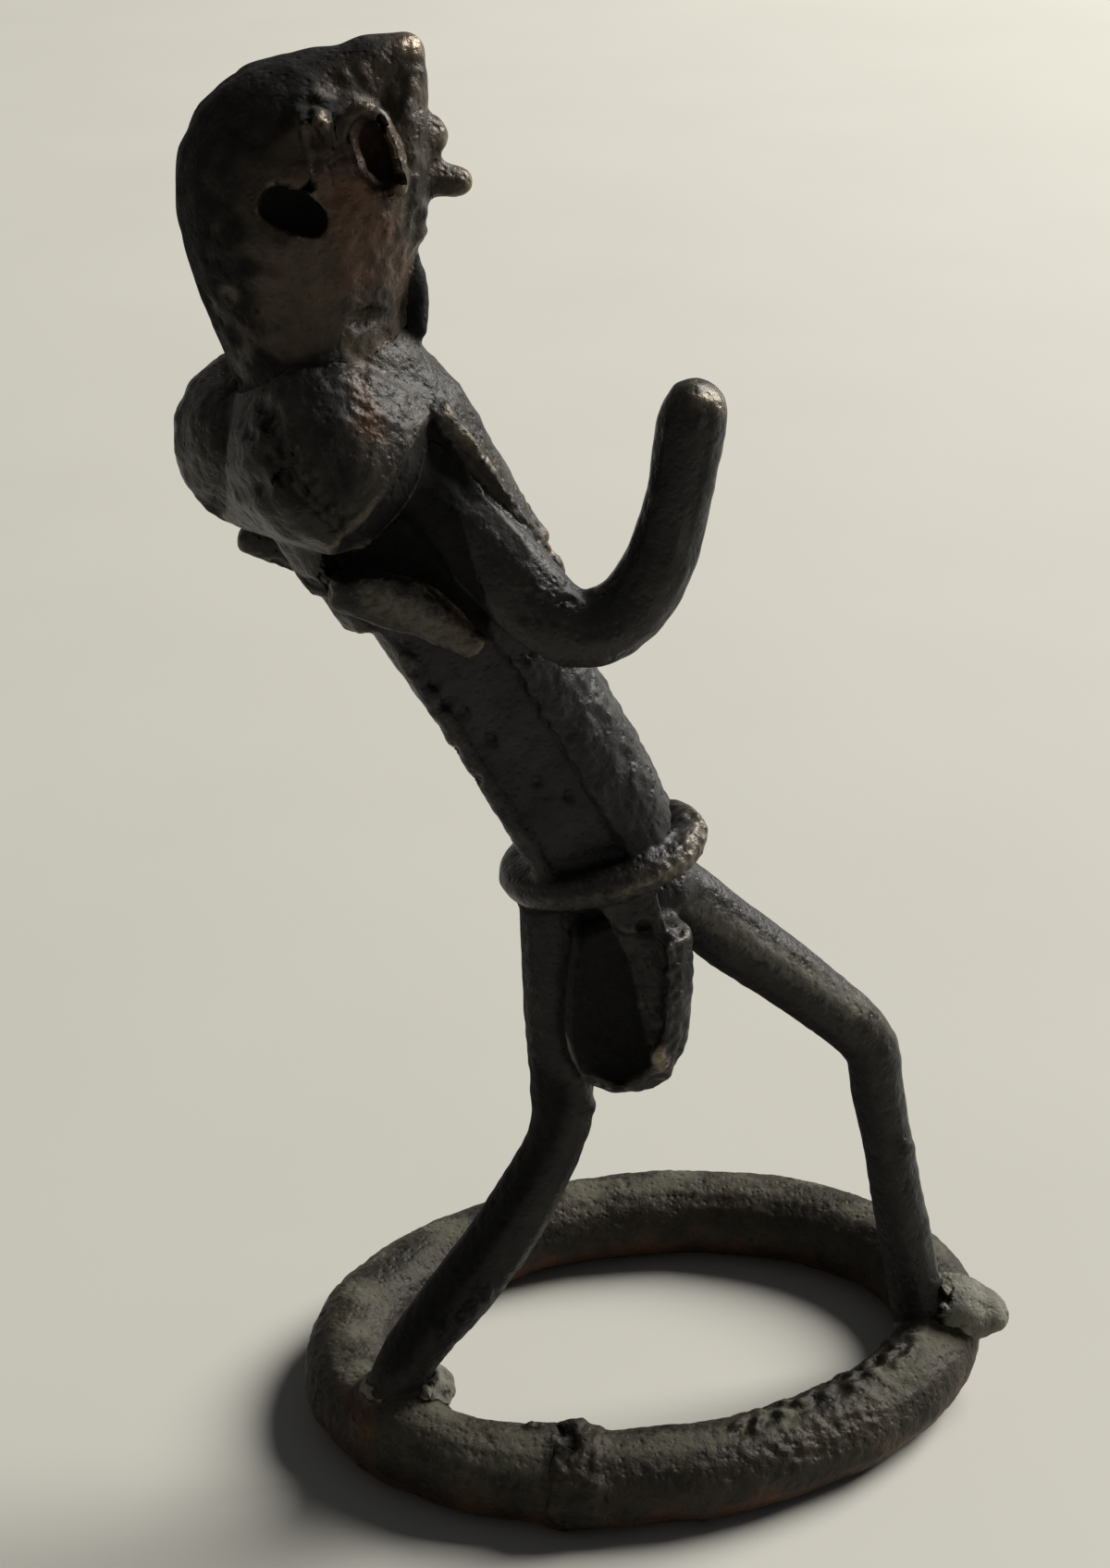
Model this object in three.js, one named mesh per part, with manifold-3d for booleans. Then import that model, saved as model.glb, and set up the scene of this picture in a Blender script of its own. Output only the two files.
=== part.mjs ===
// A cast brass figurine: a striding figure that leans back, standing on an oval ring of rod.
// The maker formed each piece in wax and pressed it onto the next, so each piece is its own solid here.
// Millimetres, +Z up, +X the way the figure faces. The near side, with the raised arm, is -Y.
import * as THREE from 'three';
import { mergeVertices } from 'three/addons/utils/BufferGeometryUtils.js';
import Module from 'manifold-3d';

const wasm = await Module();
wasm.setup();

// The gap left where one piece is pressed onto another.
const jointGap = 0.3;

// Base ring: an oval loop of round rod, worn flat below, its two ends meeting on the near side.
const ringHalfLength = 26.4;
const ringHalfDepth = 18.6;
const ringTurnDegrees = 5.4;
const ringRodRadius = 3.75;
const ringWornDepth = 0.4;
const ringSeamDegrees = 245.5;
const ringEndGap = 1.6;

// Patch over the ring's ends, with a thin fin of flashed metal.
const patchHalfLength = 3.6;
const patchRise = 0.45;
const patchFoot = 0.5;
const finLength = 4.2;
const finThickness = 0.7;

// The figure stands a little nearer than the ring's centre, its feet at the two ends of the oval.
const figureSide = -5;
const rearFootDegrees = 201;
const rearFootInset = 1.2;
const frontFootDegrees = -25;
const frontFootInset = 2;

// Legs: plain rods, the rear one on the near side.
const hipBelowWaist = 3.6;
const hipSpread = 1.2;
const rearHipPlace = -9.2;
const rearKneeHeight = 27.5;
const rearKneePlace = -9;
const rearThighRadius = 2.75;
const rearKneeRadius = 2.4;
const rearShinRadius = 2.7;
const rearAnkleRadius = 2.2;
const frontHipPlace = -0.4;
const frontKneeHeight = 34.2;
const frontKneePlace = 17;
const frontThighRadius = 2.85;
const frontKneeRadius = 2.2;
const frontShinRadius = 2.1;
const frontAnkleRadius = 2.3;
const ankleRise = 4.8;

// Feet: pads of wax that hold the ankles to the ring.
const rearFootLength = 3.4;
const rearFootHalfWidth = 2.6;
const rearFootThickness = 2.2;
const frontFootLength = 4.6;
const frontFootHalfWidth = 3;
const frontFootThickness = 2.5;
const toeLength = 2.3;
const toeRadius = 1.3;

// Hips: the saddle that takes both thighs.
const hipsHalfWidth = 4.2;
const hipsRadius = 3.5;

// Trunk: the line from the waist to the neck, in two leans.
const waistPlace = -5.7;
const waistHeight = 53.6;
const torsoLength = 25.6;
const torsoLeanDegrees = 29;
const chestLength = 21.1;
const chestLeanDegrees = 23.8;

// Torso: a flat-sided column that runs from inside the belt to inside the tunic.
const torsoHalfDepth = 5.4;
const torsoHalfWidth = 4.7;
const torsoSquareness = 2.8;
const torsoBelowWaist = 1.2;
const torsoIntoTunic = 8;

// Strip down the near back corner of the torso, and slab on its front.
const stripWidth = 1.7;
const stripThickness = 0.55;
const stripAboveWaist = 3.5;
const stripBelowTunic = 1.5;
const panelThickness = 0.9;
const panelEdge = 2.4;
const panelAboveWaist = 0.6;
const panelBelowTunic = 1.6;

// Belt: a ring of rod, tilted up towards the front.
const beltHalfLength = 6.9;
const beltHalfWidth = 6.1;
const beltRodRadius = 1.45;
const beltTiltDegrees = 13;
const beltRollDegrees = 4;

// Pouch: a pressed scoop, open towards the near side, hung from the belt by a small web.
const pouchPlace = -3.9;
const pouchSide = -5.6;
const pouchDrop = 4.2;
const pouchHeight = 14.2;
const pouchHalfLength = 4.9;
const pouchHalfWidth = 3.4;
const pouchWall = 1.05;
const pouchMouthShift = 2.4;
const webHalfWidth = 2.3;
const webThickness = 1;

// Tunic: the mantle over the shoulders and the chest, open at each side for the arm.
const tunicFrontReach = 9.1;
const tunicBackReach = 8;
const tunicHalfWidth = 6.6;
const tunicBelowChest = 1.6;
const tunicBackRise = 4.5;
const shoulderRadius = 6.9;
const shoulderHalfSpan = 6;
const shoulderBelowNeck = 6.5;
const shoulderBack = 3.95;
const shoulderTwist = 5.1;
const armholeDepth = 4.6;
const armholeTopForward = 5.9;
const armholeBackForward = -5.8;
const armholeInset = 0.7;
const armholeFrontDrop = 1;
const armholeSlant = 1.8;
const hemBelowShoulder = 6.16;
const hemThickness = 0.7;
const hemDrop = 3.6;
const backHemForward = -3.2;

// Flaps round each arm opening.
const flapHalfWidth = 1.25;
const flapHalfThickness = 0.85;
const leafHalfWidth = 2;
const leafHalfThickness = 0.8;
const leafBelowHem = 2.532;
const leafBehindArmhole = 0.2;
const leafDrop = 8.44;
const leafReach = 7.1;
const leafTuck = 1;
const farLeafLift = 2.6;
const farLeafBack = 1.2;

// Near arm: a rod bent at the elbow, rounded at the end, with no hand.
const armSide = -8;
const armRootForward = 2.6;
const upperArmRadius = 3;
const elbowRadius = 2.85;
const forearmRadius = 2.35;
const elbowAheadOfChest = 8.911;
const elbowBelowChest = 0.39;
const handAheadOfElbow = 8.9;
const handAboveElbow = 16.4;

// Far arm: hidden in the known view, a plain rod hanging close along the side of the torso.
const farArmRadius = 2.3;
const farHandAboveWaist = 6;

// Neck and head.
const neckRadius = 6.2;
const headHalfDepth = 8.6;
const headHalfWidth = 7;
const headHeight = 20;
const crownForward = 2.6;
const neckIntoTunic = 3;

// Cap: a close smooth cap. Its edge runs from the nape to behind the ear pit, climbs past the ear,
// and goes forward over the eye pit to the peak.
const capThickness = 1;
const capNapeShare = 0.425;
const capBehindEarPit = 0.4;
const capTempleForward = -1;
const capAboveEyePit = 0.6;
const capPeakRise = 1.4;
const peakForward = 8.2;
const peakRadius = 1.7;

// Pits pressed into both sides of the head, and the wax threads round them, at shares of its height.
const eyeShare = 0.72;
const earPitShare = 0.545;
const earShare = 0.79;
const eyeForward = 4.4;
const eyeHalfHeight = 2.9;
const eyeHalfWidth = 1.3;
const eyeDepth = 1.8;
const eyeTiltDegrees = 22;
const earPitForward = -1.45;
const earPitHalfLength = 2.6;
const earPitHalfHeight = 1.45;
const earPitTiltDegrees = -28;
const earForward = 0.4;
const earHalfHeight = 1.9;
const earHalfWidth = 1.2;
const threadWidth = 0.9;
const threadRise = 1.1;

// Small pieces on the face and throat, at shares of the head's height.
const mouthShare = 0.56;
const browShare = 0.715;
const beardShare = 0.3;
const mouthRodRadius = 1.05;
const mouthRodLength = 3.2;
const browRise = 1.4;
const browHalfWidth = 1.5;
const beardLength = 5.4;
const beardHalfWidth = 1.2;
const beardHalfThickness = 0.65;

// Finishes: dark patina, the same worn brown on what stands proud, and pale crust on the feet.
const darkPatina = { color: 0x3b342b, roughness: 0.42, metalness: 0.9 };
const wornBrown = { color: 0x5a4a33, roughness: 0.36, metalness: 0.95 };
const paleCrust = { color: 0x77735f, roughness: 0.75, metalness: 0.4 };

const sideAxis = new THREE.Vector3(0, 1, 0);
const upAxis = new THREE.Vector3(0, 0, 1);
const radians = THREE.MathUtils.degToRad;
const beyond = 200;

function at(x, y, z) {
  return new THREE.Vector3(x, y, z);
}

// A place in a leaning frame: up its line, forward of it, and to the side of the figure's middle.
function leaning(base, leanDegrees) {
  const lean = radians(leanDegrees);
  return (up, forward, side = 0) => at(
    base.x + forward * Math.cos(lean) - up * Math.sin(lean),
    base.y + side,
    base.z + forward * Math.sin(lean) + up * Math.cos(lean),
  );
}

const hipHeight = waistHeight - hipBelowWaist;
const onTorso = leaning(at(waistPlace, figureSide, waistHeight), torsoLeanDegrees);
const onChest = leaning(onTorso(torsoLength, 0), chestLeanDegrees);
const onHead = leaning(onChest(chestLength, 0), 0);

// The same frames as matrices, for blocks and outlines cut square to the trunk.
function frameMatrix(place, leanDegrees) {
  const turn = new THREE.Matrix4().makeRotationY(-radians(leanDegrees));
  return new THREE.Matrix4().makeTranslation(place(0, 0)).multiply(turn);
}
const torsoFrame = frameMatrix(onTorso, torsoLeanDegrees);
const chestFrame = frameMatrix(onChest, chestLeanDegrees);

// A closed mesh as a solid that can be joined and cut.
function solid(geometry) {
  const bare = new THREE.BufferGeometry();
  bare.setAttribute('position', geometry.getAttribute('position').clone());
  bare.setIndex(geometry.index ? geometry.index.clone() : null);
  const merged = mergeVertices(bare, 1e-4);
  const index = merged.index.array;
  const corners = [];
  for (let i = 0; i < index.length; i += 3) {
    const [a, b, c] = [index[i], index[i + 1], index[i + 2]];
    if (a !== b && b !== c && c !== a) corners.push(a, b, c);
  }
  return new wasm.Manifold(new wasm.Mesh({
    numProp: 3,
    vertProperties: Float32Array.from(merged.attributes.position.array),
    triVerts: Uint32Array.from(corners),
  }));
}

function cut(piece, ...rooms) {
  return rooms.reduce((rest, room) => rest.subtract(room), piece);
}

// One station of a rod: its place, its half thickness across the side axis and along it.
function station(place, across, along = across) {
  return { place, across, along };
}

// A rolled or pressed rod of wax: a lathed capsule bent along a smooth line through its stations.
// The side axis lies across the bend, square flattens the section, and grow swells the whole rod.
function rod(stations, options = {}) {
  const { side = sideAxis, sides = 12, steps = 2, square = 2, grow = 0, bulge = [1, 1] } = options;
  const line = new THREE.CatmullRomCurve3(stations.map((s) => s.place), false, 'centripetal');
  const sizes = new THREE.CatmullRomCurve3(stations.map((s) => at(s.across + grow, s.along + grow, 0)));
  const capRings = 3;
  const spans = (stations.length - 1) * steps;
  const rings = [];
  for (let i = 0; i < capRings; i += 1) {
    const angle = (i / capRings) * (Math.PI / 2);
    rings.push({ t: 0, swell: Math.sin(angle), ahead: -Math.cos(angle) * bulge[0] });
  }
  for (let i = 0; i <= spans; i += 1) rings.push({ t: i / spans, swell: 1, ahead: 0 });
  for (let i = capRings - 1; i >= 0; i -= 1) {
    const angle = (i / capRings) * (Math.PI / 2);
    rings.push({ t: 1, swell: Math.sin(angle), ahead: Math.cos(angle) * bulge[1] });
  }
  const profile = rings.map((ring, i) => new THREE.Vector2(ring.swell, i));
  const capsule = new THREE.LatheGeometry(profile, sides);
  const places = capsule.getAttribute('position');
  const flatten = (share) => Math.sign(share) * Math.abs(share) ** (2 / square);
  for (let i = 0; i < places.count; i += 1) {
    const ring = rings[Math.round(places.getY(i))];
    const size = sizes.getPoint(ring.t);
    const along = line.getTangent(ring.t);
    const sideways = side.clone().addScaledVector(along, -side.dot(along)).normalize();
    const across = along.clone().cross(sideways);
    const turn = Math.atan2(places.getX(i), places.getZ(i));
    const place = line.getPoint(ring.t)
      .addScaledVector(along, ring.ahead * Math.min(size.x, size.y))
      .addScaledVector(across, flatten(Math.sin(turn)) * size.x * ring.swell)
      .addScaledVector(sideways, flatten(Math.cos(turn)) * size.y * ring.swell);
    places.setXYZ(i, place.x, place.y, place.z);
  }
  return solid(capsule);
}

// A block between two corners, in a frame of its own.
function block(low, high, matrix = new THREE.Matrix4()) {
  const box = new THREE.BoxGeometry(high.x - low.x, high.y - low.y, high.z - low.z);
  box.translate((low.x + high.x) / 2, (low.y + high.y) / 2, (low.z + high.z) / 2);
  return solid(box.applyMatrix4(matrix));
}

// A lens of wax, or a pit of that shape: a squashed ball, turned about the side axis.
function lens(centre, half, turnDegrees = 0) {
  const turn = new THREE.Quaternion().setFromAxisAngle(sideAxis, -radians(turnDegrees));
  const shape = new THREE.SphereGeometry(1, 12, 7);
  return solid(shape.applyMatrix4(new THREE.Matrix4().compose(centre, turn, half)));
}

// Base ring.
const ringHeight = ringRodRadius - ringWornDepth;
const floor = block(at(-beyond, -beyond, -beyond), at(beyond, beyond, 0));
function onRing(degrees, inset = 0) {
  const place = at(
    (ringHalfLength - inset) * Math.cos(radians(degrees)),
    (ringHalfDepth - inset) * Math.sin(radians(degrees)),
    ringHeight,
  );
  return place.applyAxisAngle(upAxis, radians(ringTurnDegrees));
}
function ringRod(grow) {
  const seamRadius = onRing(ringSeamDegrees).setZ(0).length();
  const halfGap = THREE.MathUtils.radToDeg((ringEndGap + 0.5 * ringRodRadius) / 2 / seamRadius);
  const stations = [];
  const count = 22;
  for (let i = 0; i <= count; i += 1) {
    const degrees = ringSeamDegrees + halfGap + (i / count) * (360 - 2 * halfGap);
    stations.push(station(onRing(degrees), ringRodRadius));
  }
  return rod(stations, { side: upAxis, sides: 14, grow, bulge: [0.25, 0.25] });
}
const baseRing = cut(ringRod(0), floor);
const ringRoom = ringRod(jointGap);

// Patch round the ring's ends: it laps and fills them, and its fin runs off towards the rear foot.
function ringJointPatch() {
  const direction = onRing(ringSeamDegrees + 10).sub(onRing(ringSeamDegrees - 10)).normalize();
  const alongSeam = (share) => onRing(ringSeamDegrees).addScaledVector(direction, share * patchHalfLength);
  const radius = ringRodRadius + patchRise;
  const body = rod([
    station(alongSeam(-1), ringRodRadius * 0.75),
    station(alongSeam(-0.5), radius),
    station(alongSeam(0.4), radius),
    station(alongSeam(1), ringRodRadius * 0.75),
  ], { side: upAxis, bulge: [0.3, 0.3] });
  const inward = 0.5 * ringRodRadius;
  const finRoot = alongSeam(0.15).add(at(0, inward, Math.sqrt(radius ** 2 - inward ** 2)));
  const fin = rod([
    station(finRoot.clone().add(at(0, 0, -finThickness / 2)), finThickness, finThickness * 1.4),
    station(finRoot.clone().add(at(-finLength / 2, 0.2, 0)), finThickness / 2, finThickness),
    station(finRoot.clone().add(at(-finLength, 0.6, 0.3)), finThickness / 3, finThickness / 2),
  ], { sides: 8 });
  const aboveFoot = block(at(-beyond, -beyond, patchFoot), at(beyond, beyond, beyond));
  return cut(body.intersect(aboveFoot).add(fin), ringRoom);
}

// Legs.
const ankleHeight = ringHeight + ankleRise;
const rearAnkle = onRing(rearFootDegrees, rearFootInset).setZ(ankleHeight);
const frontAnkle = onRing(frontFootDegrees, frontFootInset).setZ(ankleHeight);
const rearHip = at(rearHipPlace, figureSide - hipSpread, hipHeight);
const frontHip = at(frontHipPlace, figureSide + hipSpread / 2, hipHeight);
const rearKnee = at(rearKneePlace, rearHip.y - hipSpread / 2, rearKneeHeight);
const frontKnee = at(frontKneePlace, frontHip.y - hipSpread / 3, frontKneeHeight);
function between(a, b, share, forward = 0, up = 0) {
  return a.clone().lerp(b, share).add(at(forward, 0, up));
}
function rearLegRod(grow) {
  return rod([
    station(rearHip, rearThighRadius),
    station(between(rearHip, rearKnee, 0.5, 0.15), rearThighRadius),
    station(between(rearHip, rearKnee, 0.86, 0.25), rearKneeRadius),
    station(between(rearKnee, rearAnkle, 0.1, -0.35), rearKneeRadius),
    station(between(rearKnee, rearAnkle, 0.42, 0.4), rearShinRadius),
    station(between(rearKnee, rearAnkle, 0.8, 0.2, 0.7), rearAnkleRadius * 1.12),
    station(rearAnkle, rearAnkleRadius),
    station(rearAnkle.clone().setZ(ringHeight).add(at(-0.3, 0, 0)), rearAnkleRadius * 0.9),
  ], { grow });
}
function frontLegRod(grow) {
  return rod([
    station(frontHip, frontThighRadius),
    station(between(frontHip, frontKnee, 0.35, 0, 0.1), frontThighRadius),
    station(between(frontHip, frontKnee, 0.86, 0.2, 0.4), frontKneeRadius * 1.1),
    station(between(frontKnee, frontAnkle, 0.03, 0.3), frontKneeRadius),
    station(between(frontKnee, frontAnkle, 0.16, 0.25), frontShinRadius),
    station(between(frontKnee, frontAnkle, 0.6), frontShinRadius),
    station(frontAnkle, frontAnkleRadius),
    station(frontAnkle.clone().setZ(ringHeight).add(at(0.6, 0, 0)), frontAnkleRadius * 0.9),
  ], { grow });
}
const rearLegRoom = rearLegRod(jointGap);
const frontLegRoom = frontLegRod(jointGap);

// Feet: each pad lies over the ring's top and round its ankle.
const padHeight = ringHeight + ringRodRadius;
function rearFoot() {
  const place = (length, side, up) => rearAnkle.clone().setZ(padHeight).add(at(length, side, up));
  return cut(rod([
    station(place(-rearFootLength * 0.55, 0, -0.6), rearFootThickness * 0.8, rearFootHalfWidth * 0.8),
    station(place(0, 0, -0.2), rearFootThickness, rearFootHalfWidth),
    station(place(rearFootLength, 0.4, -0.6), rearFootThickness * 0.7, rearFootHalfWidth * 0.7),
  ], { bulge: [0.8, 0.8] }), ringRoom, rearLegRoom);
}
function frontFoot() {
  const place = (length, side, up) => frontAnkle.clone().setZ(padHeight).add(at(length, side, up));
  const toe = frontFootLength + toeLength;
  return cut(rod([
    station(place(frontFootLength * 0.08, 0.3, -0.4), frontFootThickness * 0.8, frontFootHalfWidth * 0.9),
    station(place(frontFootLength * 0.4, 0, -0.2), frontFootThickness, frontFootHalfWidth),
    station(place(frontFootLength, -0.6, -0.5), frontFootThickness * 0.8, frontFootHalfWidth * 0.85),
    station(place(toe, -1.4, -0.8), toeRadius * 0.8, toeRadius),
  ], { bulge: [0.8, 0.8] }), ringRoom, frontLegRoom);
}

// Hips.
const hipsMiddle = between(rearHip, frontHip, 0.5).setY(figureSide);
function hipsLump(grow) {
  const end = (hip) => between(hip, hipsMiddle, 0.1).setY(figureSide);
  return rod([
    station(end(rearHip), hipsRadius * 0.9, hipsHalfWidth * 0.85),
    station(hipsMiddle, hipsRadius, hipsHalfWidth),
    station(end(frontHip), hipsRadius * 0.9, hipsHalfWidth * 0.85),
  ], { grow, sides: 14, steps: 3 });
}

// Torso.
const torsoMiddle = 0.6;
function torsoColumn(grow) {
  return rod([
    station(onTorso(-torsoBelowWaist, torsoMiddle - 0.2), torsoHalfDepth * 0.86, torsoHalfWidth * 0.9),
    station(onTorso(torsoLength * 0.2, torsoMiddle), torsoHalfDepth, torsoHalfWidth),
    station(onTorso(torsoLength * 0.6, torsoMiddle), torsoHalfDepth, torsoHalfWidth),
    station(onChest(0, torsoMiddle - 0.4), torsoHalfDepth * 1.02, torsoHalfWidth),
    station(onChest(torsoIntoTunic, torsoMiddle - 0.6), torsoHalfDepth, torsoHalfWidth * 0.95),
  ], { grow, sides: 20, square: torsoSquareness, bulge: [0.5, 0.2] });
}
const torso = torsoColumn(0);
const torsoRoom = torsoColumn(jointGap);
const hips = cut(hipsLump(0), torsoRoom);
const hipsRoom = hipsLump(jointGap);
const rearLeg = cut(rearLegRod(0), hipsRoom, torsoRoom, ringRoom);
const frontLeg = cut(frontLegRod(0), hipsRoom, torsoRoom, ringRoom);

// Belt: a loop round the waist, squeezed by the torso inside it.
function beltLoop(grow) {
  const loop = new THREE.TorusGeometry(2, 1, 8, 28);
  const places = loop.getAttribute('position');
  for (let i = 0; i < places.count; i += 1) {
    const turn = Math.atan2(places.getY(i), places.getX(i));
    const outward = (Math.hypot(places.getX(i), places.getY(i)) - 2) * (beltRodRadius + grow);
    places.setXYZ(
      i,
      (beltHalfLength + outward) * Math.cos(turn),
      (beltHalfWidth + outward) * Math.sin(turn),
      places.getZ(i) * (beltRodRadius + grow),
    );
  }
  return solid(loop
    .rotateX(-radians(beltRollDegrees))
    .rotateY(-radians(beltTiltDegrees))
    .translate(...onTorso(-0.4, 0.3)));
}
const waistBelt = cut(beltLoop(0), torsoRoom, hipsRoom, rearLegRoom, frontLegRoom);
const beltRoom = beltLoop(jointGap);

// Strip down the near back corner of the torso, rounded off inside the belt.
function backStrip() {
  const forward = onTorso(0, 1).sub(onTorso(0, 0));
  const outward = forward.clone().negate().sub(sideAxis).normalize();
  const corner = 0.5 ** (1 / torsoSquareness);
  const low = stripAboveWaist;
  const high = torsoLength - stripBelowTunic;
  const place = (share) => onTorso(
    low + share * (high - low),
    torsoMiddle - torsoHalfDepth * corner,
    -torsoHalfWidth * corner,
  ).addScaledVector(outward, jointGap + stripThickness / 2);
  return cut(rod([
    station(place(0), stripThickness, stripWidth * 0.38),
    station(place(0.12), stripThickness, stripWidth / 2),
    station(place(0.5), stripThickness, stripWidth / 2),
    station(place(1), stripThickness, stripWidth / 2),
  ], { side: forward.clone().sub(sideAxis).normalize(), sides: 10 }), torsoRoom, beltRoom);
}

// Slab pressed on the front of the torso.
function panelRoomShape(grow) {
  const thick = torsoColumn(jointGap + panelThickness + grow);
  const low = at(panelEdge - grow, -beyond, panelAboveWaist - grow);
  const high = at(beyond, beyond, torsoLength - panelBelowTunic + grow);
  return thick.intersect(block(low, high, torsoFrame));
}
const panelRoom = panelRoomShape(jointGap);

// Pouch: an egg of wax with its hollow set off towards the near side and the rear.
const pouchTop = waistHeight - pouchDrop;
function pouchEgg(shrink, shift, rise) {
  const place = (share) => at(
    pouchPlace - shift * 0.55 - share * 0.6,
    figureSide + pouchSide - shift,
    pouchTop + rise - share * pouchHeight,
  );
  const level = (share, full) => station(
    place(share),
    pouchHalfLength * full - shrink,
    pouchHalfWidth * full - shrink,
  );
  return rod([level(0, 0.92), level(0.35, 1), level(0.65, 0.98), level(0.86, 0.74)], {
    sides: 16,
    bulge: [0.1, 0.62],
  });
}
const pouchHollow = pouchEgg(pouchWall, pouchMouthShift, pouchWall);
const pouch = cut(pouchEgg(0, 0, 0), pouchHollow, rearLegRoom, frontLegRoom, hipsRoom, beltRoom);

// Web: a small three-cornered sheet from the belt down to the pouch's top.
function pouchWeb() {
  const top = at(pouchPlace - 0.6, figureSide - beltHalfWidth, waistHeight - 1.2);
  const foot = at(pouchPlace + 1.4, figureSide + pouchSide - 0.4 * pouchHalfWidth, pouchTop - 0.8);
  return cut(rod([
    station(top, webHalfWidth, webThickness / 2),
    station(top.clone().lerp(foot, 0.5), webHalfWidth * 0.8, webThickness / 2),
    station(foot, webHalfWidth * 0.5, webThickness / 2),
  ], { sides: 10 }), beltRoom, hipsRoom, pouchEgg(-jointGap, 0, 0));
}

// Near arm: down out of the tunic, round the elbow, and up. The elbow keeps its place by the chest.
const elbowPlace = onChest(0, 0).x + elbowAheadOfChest;
const elbowHeight = onChest(0, 0).z - elbowBelowChest;
const handPlace = elbowPlace + handAheadOfElbow;
const handHeight = elbowHeight + handAboveElbow;
function nearArmRod(grow) {
  const side = figureSide + armSide;
  const root = onChest(chestLength * 0.52, armRootForward, armSide * 0.42);
  const elbow = at(elbowPlace, side, elbowHeight);
  const hand = at(handPlace, side, handHeight);
  const reach = elbow.distanceTo(hand);
  const belly = (share, forward, down) => between(elbow, hand, share, forward * reach, -down * reach);
  return rod([
    station(root, upperArmRadius * 0.9),
    station(between(root, elbow, 0.35, -0.2), upperArmRadius),
    station(between(root, elbow, 0.74, -0.4, -0.5), upperArmRadius),
    station(elbow, elbowRadius),
    station(belly(0.2, 0.07, 0.15), elbowRadius * 0.97),
    station(belly(0.36, 0.12, 0.165), elbowRadius * 0.9),
    station(belly(0.54, 0.11, 0.14), forearmRadius * 1.03),
    station(belly(0.78, 0.05, 0.09), forearmRadius),
    station(belly(0.93, 0.01, 0.02), forearmRadius),
    station(hand, forearmRadius * 0.88),
  ], { grow, bulge: [0.5, 0.75] });
}
const nearArmRoom = nearArmRod(jointGap);

// Far arm.
function farArmRod(grow) {
  const outward = torsoHalfWidth + jointGap + farArmRadius + 0.1;
  return rod([
    station(onChest(chestLength * 0.47, -1.2, outward * 0.8), farArmRadius * 1.2),
    station(onChest(chestLength * 0.19, 0.6, outward), farArmRadius * 1.15),
    station(onTorso(torsoLength * 0.8, 1.6, outward + 0.3), farArmRadius),
    station(onTorso(torsoLength * 0.5, 1.8, outward), farArmRadius),
    station(onTorso(farHandAboveWaist, 1.8, outward), farArmRadius * 0.9),
  ], { grow });
}
const farArmRoom = farArmRod(jointGap);
const chestPanel = cut(panelRoomShape(0), torsoRoom, beltRoom, farArmRoom, nearArmRoom);
const nearArm = cut(nearArmRod(0), torsoRoom);
const farArm = cut(farArmRod(0), torsoRoom, beltRoom);

// Neck and head: one tapered rod, its levels given as shares of its height above the neck.
const headLevels = [
  { share: -neckIntoTunic / headHeight, forward: 0, across: neckRadius * 0.86, along: neckRadius * 0.8 },
  { share: 0.02, forward: 0, across: neckRadius, along: neckRadius * 0.92 },
  { share: 0.23, forward: -0.3, across: headHalfDepth * 0.84, along: headHalfWidth * 0.9 },
  { share: 0.42, forward: -0.4, across: headHalfDepth * 0.97, along: headHalfWidth },
  { share: 0.58, forward: 0, across: headHalfDepth, along: headHalfWidth * 0.98 },
  { share: 0.73, forward: crownForward * 0.5, across: headHalfDepth * 0.86, along: headHalfWidth * 0.84 },
  { share: 0.84, forward: crownForward, across: headHalfDepth * 0.64, along: headHalfWidth * 0.62 },
];
function headRod(grow) {
  const level = (l) => station(onHead(l.share * headHeight, l.forward), l.across, l.along);
  return rod(headLevels.map(level), { grow, sides: 18, bulge: [0.2, 0.42] });
}
// Face: wax laid upright from the chin to under the peak, so that the front of the head is one plane.
function faceRod(grow) {
  const level = (share, across, width) => station(
    onHead(headHeight * share, headHalfDepth - across),
    across,
    headHalfWidth * width,
  );
  return rod([
    level(0.4, 2.6, 0.5),
    level(0.62, 2.5, 0.56),
    level(0.82, 2, 0.44),
    level(0.95, 1.5, 0.26),
  ], { grow, sides: 14, bulge: [0.6, 0.5] });
}
const headRoom = headRod(jointGap).add(faceRod(jointGap));

// A place on the head's skin at a share of its height, forward of the neck, on one side.
function onHeadSkin(share, forward, sign, outward = 0) {
  const above = headLevels.findIndex((l) => l.share >= share);
  const [low, high] = [headLevels[above - 1], headLevels[above]];
  const mix = (share - low.share) / (high.share - low.share);
  const value = (key) => THREE.MathUtils.lerp(low[key], high[key], mix);
  const bow = Math.sqrt(Math.max(0, 1 - ((forward - value('forward')) / value('across')) ** 2));
  return onHead(share * headHeight, forward, sign * (value('along') * bow + outward));
}

// Cap, with its peak, and the seat left for it in the head.
const capEdgeHeight = eyeShare * headHeight + eyeHalfHeight + capAboveEyePit;
function aboveCapEdge(lower) {
  const edge = (forward, height) => new THREE.Vector2(forward + lower, height - lower);
  const earPitEnd = earPitForward - earPitHalfLength - capBehindEarPit;
  const outline = new THREE.Shape([
    edge(-beyond, capNapeShare * headHeight),
    edge(-headHalfDepth, capNapeShare * headHeight),
    edge(earPitEnd, earPitShare * headHeight + capBehindEarPit),
    edge(capTempleForward, capEdgeHeight),
    edge(peakForward, capEdgeHeight + capPeakRise),
    edge(beyond, capEdgeHeight + capPeakRise),
    edge(beyond, beyond),
    edge(-beyond, beyond),
  ]);
  const region = new THREE.ExtrudeGeometry(outline, { depth: 2 * beyond, bevelEnabled: false });
  region.rotateX(Math.PI / 2).translate(0, beyond, 0);
  return solid(region.translate(...onHead(0, 0).setY(0)));
}
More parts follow.
